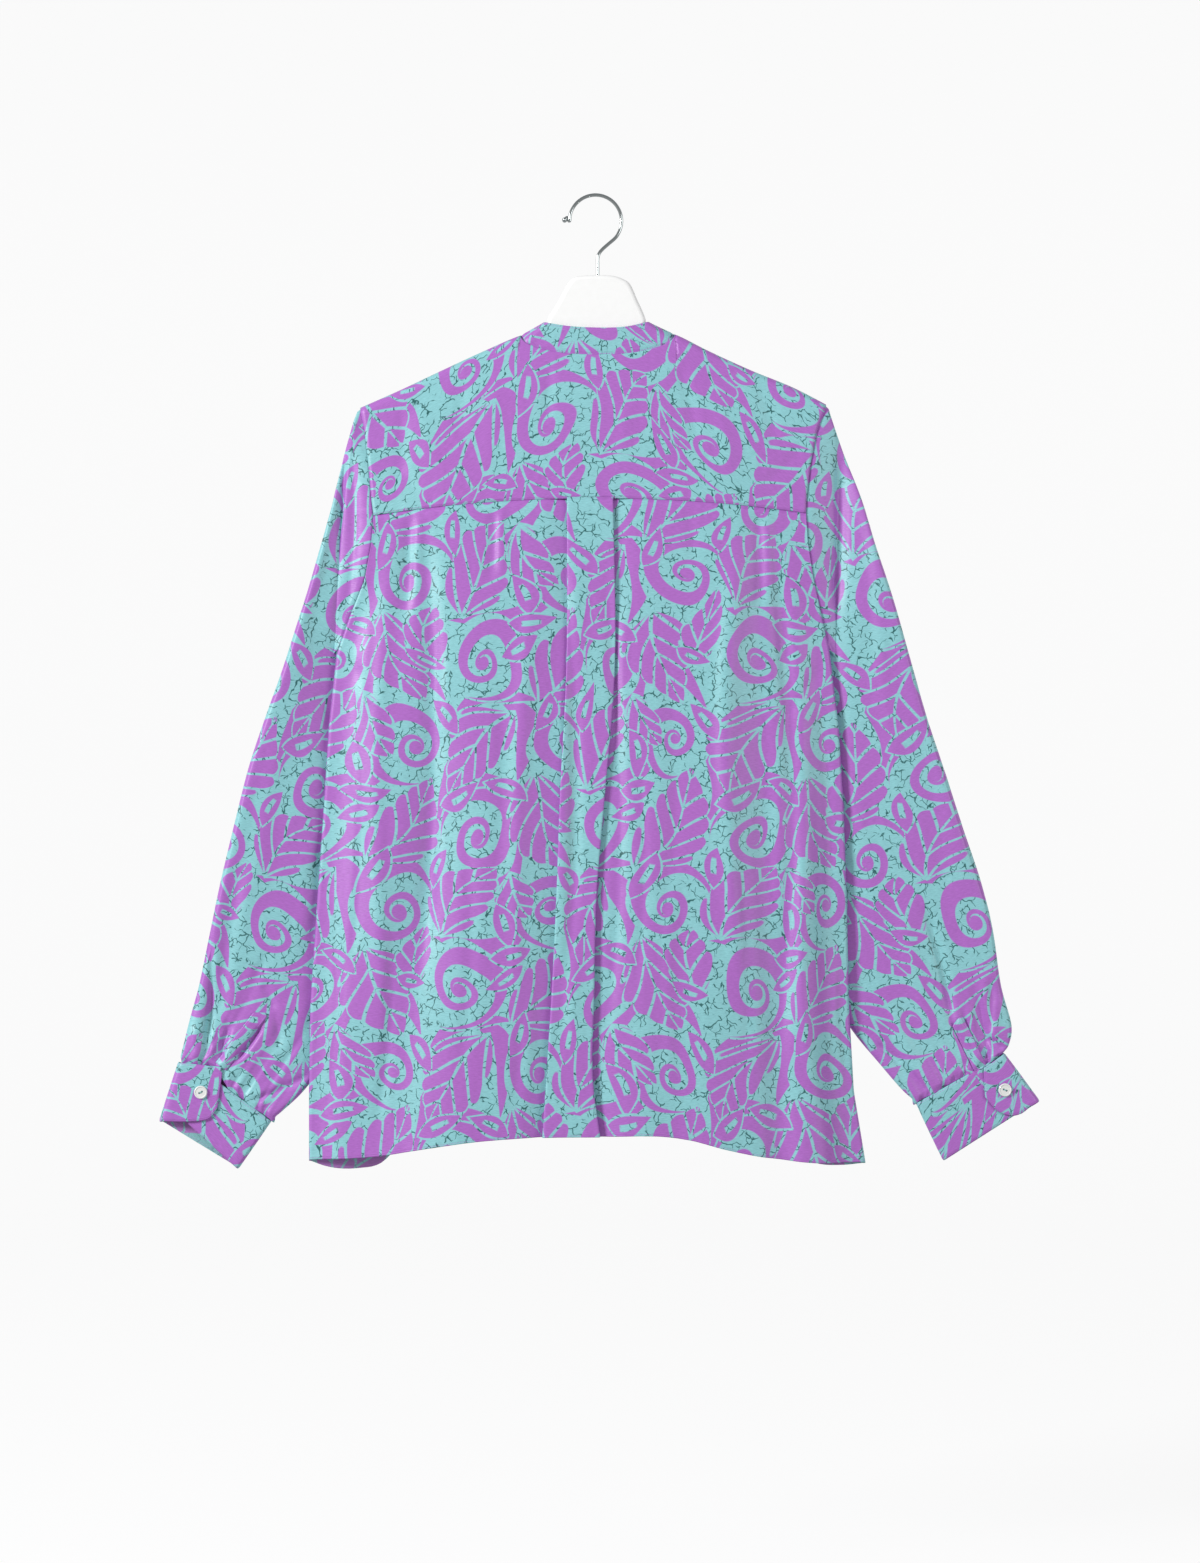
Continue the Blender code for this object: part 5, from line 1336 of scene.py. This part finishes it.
# centre across, centre up, radius, growth in a turn, half the band, phase, hand
SCROLL_TABLE = (
    (27, 30, 29, 3.0, 0.23, 0.1, 1), (86, 86, 28, 3.1, 0.22, 0.6, -1),
    (30, 138, 29, 3.0, 0.23, 0.3, -1), (88, 200, 28, 3.1, 0.22, 0.8, 1),
)
BLADE_TABLE_OVER = (
    ("leaf", 62, 0, 58, 76, 0.4, 0.4, -0.35, 4.4),
    ("leaf", 10, 60, 60, 68, 0.42, -0.4, -0.35, 4.0),
    ("leaf", 66, 178, -66, 70, 0.4, 0.4, -0.35, 4.2),
    ("leaf", 46, 222, -122, 70, 0.4, 0.4, -0.35, 4.2),
    ("leaf", 102, 138, 84, 50, 0.36, -0.4, -0.3, 3.2),
    ("leaf", 52, 116, -60, 44, 0.36, 0.4, -0.3, 3.2),
    ("drop", 58, 58, 110, 34, 0.26, 0.3, -0.3, 0),
    ("drop", 66, 46, 208, 28, 0.26, -0.3, -0.3, 0),
    ("drop", 62, 206, 70, 32, 0.26, 0.3, -0.3, 0),
    ("drop", 2, 100, 80, 30, 0.26, -0.3, -0.3, 0),
    ("drop", 8, 204, 130, 32, 0.26, 0.3, -0.3, 0),
    ("drop", 60, 156, 150, 30, 0.26, 0.3, -0.3, 0),
    ("drop", 2, 156, 30, 32, 0.26, 0.3, -0.3, 0),
    ("drop", 44, 52, 10, 30, 0.24, 0.3, -0.3, 0),
    ("drop", 86, 150, -20, 26, 0.24, 0.3, -0.3, 0),
)
SHEAR = REPEAT_DOWN / (2 * REPEAT_ACROSS)
DRIFT, DRIFT_SCALE = 20.0, 0.014  # mm that the cloth draws a repeat aside, and how often to a mm


def window(tree, vector, across, up):
    """Wrap the sheared place into the window round one motif; z stays 1."""
    low = (across - REPEAT_ACROSS / 2, up - SHEAR * across - REPEAT_DOWN / 2, 1.0)
    high = (across + REPEAT_ACROSS / 2, up - SHEAR * across + REPEAT_DOWN / 2, 1.0)
    return vec(tree, "WRAP", vector, high, low)


def measure(tree, wrapped, base, direction):
    """One local coordinate: (place - base) . direction, with the shear taken back."""
    x, y = direction
    row = (x + y * SHEAR, y, -(base[0] * x + base[1] * y))
    return vec(tree, "DOT_PRODUCT", wrapped, row, out=1)


def print_group():
    """All motifs in their order, from the cloth's place in millimetres to one mask."""
    tree, given, give = new_group("Leaf print", [("Place", VECTOR, None)], [("Mask", FLOAT)])
    wobble = texture(tree, "ShaderNodeTexNoise", given["Place"], noise_dimensions="2D",
                     Scale=DRIFT_SCALE, Detail=0.0)
    drawn = vec(tree, "MULTIPLY", given["Place"], (1 / ENLARGED, 1 / ENLARGED, 0))
    drift = vec(tree, "MULTIPLY_ADD", wobble.outputs["Color"], (DRIFT, DRIFT, 0), drawn)
    split = tree.nodes.new("ShaderNodeSeparateXYZ")
    tree.links.new(drift, split.inputs[0])
    join = tree.nodes.new("ShaderNodeCombineXYZ")
    tree.links.new(split.outputs["X"], join.inputs["X"])
    sheared_up = op(tree, "MULTIPLY_ADD", split.outputs["X"], -SHEAR, split.outputs["Y"])
    tree.links.new(sheared_up, join.inputs["Y"])
    join.inputs["Z"].default_value = 1.0
    sheared, mask = join.outputs[0], 0.0

    def add_blade(row, under):
        """One motif of the tables in its place, over the mask so far."""
        kind, x, y, degrees, size, half, bend, skew, veins = row
        c, s = math.cos(math.radians(degrees)) / size, math.sin(math.radians(degrees)) / size
        place_in = window(tree, sheared, x + c * size * size / 2, y + s * size * size / 2)
        return use(tree, BLADES[kind], Along=measure(tree, place_in, (x, y), (c, s)),
                   Across=measure(tree, place_in, (x, y), (-s, c)), Under=under, Length=float(size),
                   Half_Width=half, Bend=bend, Skew=float(skew), Veins=float(veins), Slope=LEAF_SLOPE,
                   Lobe=LEAF_LOBE)["Mask"]

    for row in BLADE_TABLE_UNDER:
        mask = add_blade(row, mask)
    for x, y, size, ratio, band, phase, hand in SCROLL_TABLE:
        place_in = window(tree, sheared, x, y)
        mask = use(tree, SCROLL, X=measure(tree, place_in, (x, y), (1 / size, 0)),
                   Y=measure(tree, place_in, (x, y), (0, hand / size)), Under=mask, Radius=float(size),
                   Ratio=ratio, Band=band, Phase=phase)["Mask"]
    for row in BLADE_TABLE_OVER:
        mask = add_blade(row, mask)
    give("Mask", mask)
    return tree


PRINT = print_group()
print("motifs:", len(BLADE_TABLE_UNDER) + len(SCROLL_TABLE) + len(BLADE_TABLE_OVER))

# %% [markdown]
# ## Crackle and weave
# Between the motifs the ground carries fine dark lines, broken and branched like the crackle of a
# glaze. The lines lie where two cells of a cell pattern meet, and a noise breaks them up, because
# drawn curves would need a place for each line. The weave shows as short slubs across the cloth,
# which change the colour and the surface a little; single threads are too fine to show.

# %% Crackle and weave
# cells to a millimetre, half width of a line, how much is left out, how far the layer is moved
CRACKLE_LAYERS = ((0.08, 0.034, 0.46, 0.0), (0.14, 0.044, 0.51, 31.0))
CRACKLE_BEND, BEND_SCALE, BREAK_SCALE, LINE_CORE, BREAK_SHARPNESS = 3.0, 0.25, 0.11, 1.5, 16.0
SLUB_SCALE = (0.22, 1.5, 0)  # slubs to a millimetre, along the weft and across it
SLUB_TONE, LOWEST_TONE = 0.34, 0.83
STITCH, STITCH_HALF, DENT_HALF = 2.4, 0.28, 0.9  # millimetres
STITCH_GAP, STITCH_SHARPNESS = 0.12, 12.0


def crackle_group():
    """Lines where 1.5 - distance to the cells' edge / width is above 0, shown where a noise is high."""
    tree, given, give = new_group("Crackle", [("Place", VECTOR, None)], [("Lines", FLOAT)])
    bent = texture(tree, "ShaderNodeTexNoise", given["Place"], noise_dimensions="2D", Scale=BEND_SCALE,
                   Detail=0.0)
    bend = (CRACKLE_BEND, CRACKLE_BEND, 0)
    place_in = vec(tree, "MULTIPLY_ADD", bent.outputs["Color"], bend, given["Place"])
    total = 0.0
    for scale, width, cover, shift in CRACKLE_LAYERS:
        moved = vec(tree, "ADD", place_in, (shift, 2 * shift, 0))
        cells = texture(tree, "ShaderNodeTexVoronoi", moved, voronoi_dimensions="2D", Scale=scale,
                        feature="DISTANCE_TO_EDGE", Randomness=1.0)
        from_line = op(tree, "DIVIDE", cells.outputs["Distance"], width)
        line = op(tree, "SUBTRACT", LINE_CORE, from_line, clamp=True)
        breaks = texture(tree, "ShaderNodeTexNoise", moved, noise_dimensions="2D", Scale=BREAK_SCALE,
                         Detail=1.0)
        above = op(tree, "SUBTRACT", breaks.outputs[0], cover)
        shown = op(tree, "MULTIPLY", above, BREAK_SHARPNESS, clamp=True)
        total = op(tree, "MAXIMUM", op(tree, "MULTIPLY", line, shown), total)
    give("Lines", total)
    return tree


def weave_group():
    """Noise drawn out along the weft: its value is the height, and 0.83 + 0.34 * value the tone."""
    tree, given, give = new_group("Weave", [("Place", VECTOR, None)], [("Tone", FLOAT), ("Height", FLOAT)])
    stretched = vec(tree, "MULTIPLY", given["Place"], SLUB_SCALE)
    slub = texture(tree, "ShaderNodeTexNoise", stretched, noise_dimensions="2D", Scale=1.0, Detail=1.0)
    give("Tone", op(tree, "MULTIPLY_ADD", slub.outputs[0], SLUB_TONE, LOWEST_TONE))
    give("Height", slub.outputs[0])
    return tree


def stitch_group():
    """Dashes of thread along the line a given distance in from a sewn edge, and the dent they draw."""
    tree, given, give = new_group(
        "Stitches", [("Edge", FLOAT, 50.0), ("Run", FLOAT, 0.0), ("Inset", FLOAT, 1.5)],
        [("Thread", FLOAT), ("Dent", FLOAT)])
    off = op(tree, "ABSOLUTE", op(tree, "SUBTRACT", given["Edge"], given["Inset"]))
    dash = op(tree, "PINGPONG", op(tree, "DIVIDE", given["Run"], STITCH), 0.5)
    near = op(tree, "SUBTRACT", 1.0, op(tree, "DIVIDE", off, STITCH_HALF), clamp=True)
    from_gap = op(tree, "SUBTRACT", dash, STITCH_GAP)
    sharp_dash = op(tree, "MULTIPLY", from_gap, STITCH_SHARPNESS, clamp=True)
    give("Thread", op(tree, "MULTIPLY", near, sharp_dash))
    give("Dent", op(tree, "SUBTRACT", 1.0, op(tree, "DIVIDE", off, DENT_HALF), clamp=True))
    return tree


CRACKLE, WEAVE, STITCHES = crackle_group(), weave_group(), stitch_group()
print("crackle nodes:", len(CRACKLE.nodes))

# %% [markdown]
# ## Printed cloth
# The outside is a light satin: two dyes, the crackle on the ground, slubs, and a soft gloss. The
# inside is the back of the same print, where the dye comes through paler. One function makes both,
# so that the motifs stand at the same places on the two faces.

# %% Cloth materials
PURPLE, TEAL, CRACK = (0.43, 0.145, 0.555, 1), (0.265, 0.59, 0.63, 1), (0.02, 0.12, 0.12, 1)
PURPLE_BACK, TEAL_BACK = (0.45, 0.19, 0.55, 1), (0.27, 0.56, 0.58, 1)


def new_material(name):
    """A material, its node tree and its main shader."""
    material = bpy.data.materials.new(name)
    material.use_nodes = True
    tree = material.node_tree
    return material, tree, tree.nodes["Principled BSDF"]


def settle(shader, **values):
    """Set plain inputs of a shader; underscores in the names stand for spaces."""
    for label, value in values.items():
        shader.inputs[label.replace("_", " ")].default_value = value


def cloth_material(name, purple, teal, crack_share):
    """Teal ground with crackle, purple motifs and thread over it, slubs and stitches as relief."""
    material, tree, shader = new_material(name)
    uv = tree.nodes.new("ShaderNodeUVMap")
    uv.uv_map = "cloth"
    place_mm = vec(tree, "MULTIPLY", uv.outputs[0], (1000, 1000, 0))
    split = tree.nodes.new("ShaderNodeSeparateXYZ")
    tree.links.new(place_mm, split.inputs[0])
    edge = tree.nodes.new("ShaderNodeAttribute")
    edge.attribute_name = "edge"
    edge_mm = op(tree, "MULTIPLY", edge.outputs["Fac"], 1000.0)
    sewn = use(tree, STITCHES, Edge=edge_mm, Run=split.outputs["X"])
    weave = use(tree, WEAVE, Place=place_mm)
    lines = op(tree, "MULTIPLY", use(tree, CRACKLE, Place=place_mm)["Lines"], crack_share)
    ground = mix(tree, lines, teal, CRACK)
    dyed = mix(tree, use(tree, PRINT, Place=place_mm)["Mask"], ground, purple)
    toned = mix(tree, 1.0, dyed, weave["Tone"], "MULTIPLY")
    tree.links.new(mix(tree, sewn["Thread"], toned, purple), shader.inputs["Base Color"])
    height = op(tree, "MULTIPLY_ADD", sewn["Dent"], -1.5, weave["Height"])
    bump = tree.nodes.new("ShaderNodeBump")
    settle(bump, Strength=0.35, Distance=0.0003)
    tree.links.new(height, bump.inputs["Height"])
    tree.links.new(bump.outputs[0], shader.inputs["Normal"])
    settle(shader, Roughness=0.42, Specular_IOR_Level=0.45, Sheen_Weight=0.12, Sheen_Roughness=0.4)
    return material


outside = cloth_material("printed satin outside", PURPLE, TEAL, 1.0)
inside = cloth_material("printed satin inside", PURPLE_BACK, TEAL_BACK, 0.4)
for piece in CLOTH_PIECES:
    piece.data.materials.append(outside)
    piece.data.materials.append(inside)
print("cloth pieces dressed:", len(CLOTH_PIECES))

# %% [markdown]
# ## Hanger, hook, buttons and thread
# The plastic is off-white with the faint unevenness of a moulding. The wire is chromed. Shell
# has soft bands of warmer and cooler white under a gloss. The thread is plain and matt. One noise
# is enough for each of the others, since these pieces are small in the picture.

# %% Other materials
plastic, tree, shader = new_material("hanger plastic")
spot = tree.nodes.new("ShaderNodeTexCoord").outputs["Object"]
grain = texture(tree, "ShaderNodeTexNoise", spot, Scale=160.0, Detail=2.0)
off_white = mix(tree, grain.outputs[0], (0.92, 0.92, 0.91, 1), (0.96, 0.96, 0.955, 1))
tree.links.new(off_white, shader.inputs["Base Color"])
tree.links.new(op(tree, "MULTIPLY_ADD", grain.outputs[0], 0.12, 0.36), shader.inputs["Roughness"])

chrome, tree, shader = new_material("chromed wire")
spot = tree.nodes.new("ShaderNodeTexCoord").outputs["Object"]
haze = texture(tree, "ShaderNodeTexNoise", spot, Scale=90.0, Detail=2.0)
settle(shader, Base_Color=(0.50, 0.54, 0.54, 1), Metallic=1.0)
tree.links.new(op(tree, "MULTIPLY_ADD", haze.outputs[0], 0.1, 0.08), shader.inputs["Roughness"])

pearl, tree, shader = new_material("shell")
spot = tree.nodes.new("ShaderNodeTexCoord").outputs["Object"]
squeezed = vec(tree, "MULTIPLY", spot, (1, 1, 2.4))
bands = texture(tree, "ShaderNodeTexNoise", squeezed, Scale=260.0, Detail=2.0, Distortion=0.6)
nacre = mix(tree, bands.outputs[0], (0.70, 0.76, 0.74, 1), (0.90, 0.87, 0.84, 1))
tree.links.new(nacre, shader.inputs["Base Color"])
settle(shader, Roughness=0.2, Coat_Weight=0.6, Coat_Roughness=0.08)

cotton, tree, shader = new_material("thread")
settle(shader, Base_Color=(0.25, 0.50, 0.50, 1), Roughness=0.8)

for pieces, material in ((buttons, pearl), (threads, cotton), ([hanger], plastic), ([hook], chrome)):
    for piece in pieces:
        piece.data.materials.append(material)
print("materials:", len(bpy.data.materials))

# %% [markdown]
# ## Floor and backdrop
# The studio is one seamless bowl: a pale floor that sweeps up on all sides, so every side of the
# blouse stands before the same plain ground. The paper glows evenly toward the camera. What it gives
# to the blouse is weaker, and grows on the far side, so that the fronts don't hang in the dark.

# %% Studio bowl
# metres, but for the grid
FLOOR_LEVEL, FLOOR_RADIUS, FLOOR_START, SWEEP_RADIUS = -1.25, 2.6, 0.0006, 1.8
WALL_RADIUS, WALL_LEVELS = 4.4, (3.2, 5.5)
CAMERA_GLOW, NEAR_GLOW, FAR_GLOW, GLOW_RISE = 0.84, 0.23, 0.40, 0.5
sweep = np.linspace(0.05, math.pi / 2, 24)
r = np.concatenate([np.linspace(FLOOR_START, FLOOR_RADIUS, 20), FLOOR_RADIUS + SWEEP_RADIUS * np.sin(sweep)])
h = np.concatenate([np.zeros(20), SWEEP_RADIUS - SWEEP_RADIUS * np.cos(sweep)])
r, h = np.append(r, [WALL_RADIUS, WALL_RADIUS]), np.append(h, WALL_LEVELS)
a = np.arange(96) * 2 * math.pi / 96
bowl_grid = np.stack([r[:, None] * np.cos(a), r[:, None] * np.sin(a), h[:, None] + FLOOR_LEVEL + 0 * a], -1)
bowl_grid = bowl_grid / MM
bowl = bpy.data.objects.new("studio_bowl", mesh_of("studio_bowl", bowl_grid, ring=True, facing=(0, 0, 1)))
bpy.context.scene.collection.objects.link(bowl)
paper, tree, shader = new_material("pale paper")
settle(shader, Base_Color=(0.16, 0.16, 0.16, 1), Roughness=0.9, Specular_IOR_Level=0.0,
       Emission_Color=(1, 1, 1, 1))
ray = tree.nodes.new("ShaderNodeLightPath")
split = tree.nodes.new("ShaderNodeSeparateXYZ")
spot = tree.nodes.new("ShaderNodeTexCoord").outputs["Object"]
tree.links.new(spot, split.inputs[0])
behind = op(tree, "MULTIPLY", split.outputs["Y"], GLOW_RISE, clamp=True)
room_glow = op(tree, "MULTIPLY_ADD", behind, FAR_GLOW, NEAR_GLOW)
extra = op(tree, "SUBTRACT", CAMERA_GLOW, room_glow)
glow = op(tree, "MULTIPLY_ADD", ray.outputs["Is Camera Ray"], extra, room_glow)
tree.links.new(glow, shader.inputs["Emission Strength"])
paper.cycles.emission_sampling = "NONE"
bowl.data.materials.append(paper)
print("bowl", len(bowl.data.polygons), "faces")

# %% [markdown]
# ## Light
# A soft box stands to the left of the blouse, a little in front and above, and rakes across its
# folds; a wider, weaker one fills in from the right. The pale room and its paper give the rest,
# most of it from the side away from the camera. One sun lamp would light the cloth too, but the
# hard edges of its shadows wouldn't look like a studio.

# %% Lights
def soft_box(name, place_at, aim, size, power):
    """A square area lamp that looks at a point."""
    lamp = bpy.data.lights.new(name, "AREA")
    lamp.shape, lamp.size, lamp.energy = "SQUARE", size, power
    holder = bpy.data.objects.new(name, lamp)
    x, y, z = np.array(aim) - np.array(place_at)
    holder.location = place_at
    tilt, turn = math.atan2(z, math.hypot(x, y)), math.atan2(y, x)
    holder.rotation_euler = (math.pi / 2 + tilt, 0, turn - math.pi / 2)
    bpy.context.scene.collection.objects.link(holder)


soft_box("key", (-3.2, -2.2, 1.0), (0, 0, -0.45), 1.0, 150)
soft_box("fill", (2.6, -2.3, 0.2), (0, 0, -0.5), 2.0, 38)
room = bpy.data.worlds.new("pale room")
room.use_nodes = True
settle(room.node_tree.nodes["Background"], Color=(0.93, 0.95, 1.0, 1), Strength=0.32)
bpy.context.scene.world = room
bpy.context.scene.view_settings.view_transform = "Standard"
print("lights: key, fill and room")

# %% [markdown]
# ## The cut of the cloth
# Each piece is stated as the flat cloth that it is cut from: width, length and area in metres, how
# it is held and what it hangs from or lies on. A sleeve's width is the whole way round its tube,
# the back's width has the pleat unfolded, and a cuff is one strip from its tab to its hidden end.
# The sizes are round numbers, and the cell prints how each finished sheet compares with its own.

# %% Cut sizes
SHEETS = {
    "back_panel_cloth": (0.530, 0.570, 0.269, "hung", ("back_yoke_cloth",)),
    "back_yoke_cloth": (0.400, 0.187, 0.056, "draped", ("hanger_body",)),
    "front_left_cloth": (0.262, 0.695, 0.150, "hung", ("back_yoke_cloth",)),
    "front_right_cloth": (0.246, 0.693, 0.137, "hung", ("back_yoke_cloth",)),
    "collar_band_cloth": (0.422, 0.026, 0.0089, "hung", ("back_yoke_cloth",)),
    "sleeve_left_cloth": (0.272, 0.616, 0.118, "gathered", ("back_yoke_cloth",)),
    "sleeve_right_cloth": (0.300, 0.604, 0.126, "gathered", ("back_yoke_cloth",)),
    "placket_left_cloth": (0.0120, 0.060, 0.00071, "laid", ("sleeve_left_cloth",)),
    "placket_right_cloth": (0.0121, 0.0705, 0.00084, "laid", ("sleeve_right_cloth",)),
    "cuff_left_cloth": (0.213, 0.0535, 0.0102, "folded", ("sleeve_left_cloth",)),
    "cuff_right_cloth": (0.239, 0.055, 0.0109, "folded", ("sleeve_right_cloth",)),
}
for piece in CLOTH_PIECES:
    width, length, flat_area, held, rests_on = SHEETS[piece.name]
    print(piece.name, round(sum(p.area for p in piece.data.polygons) / flat_area, 3), "of its flat area")
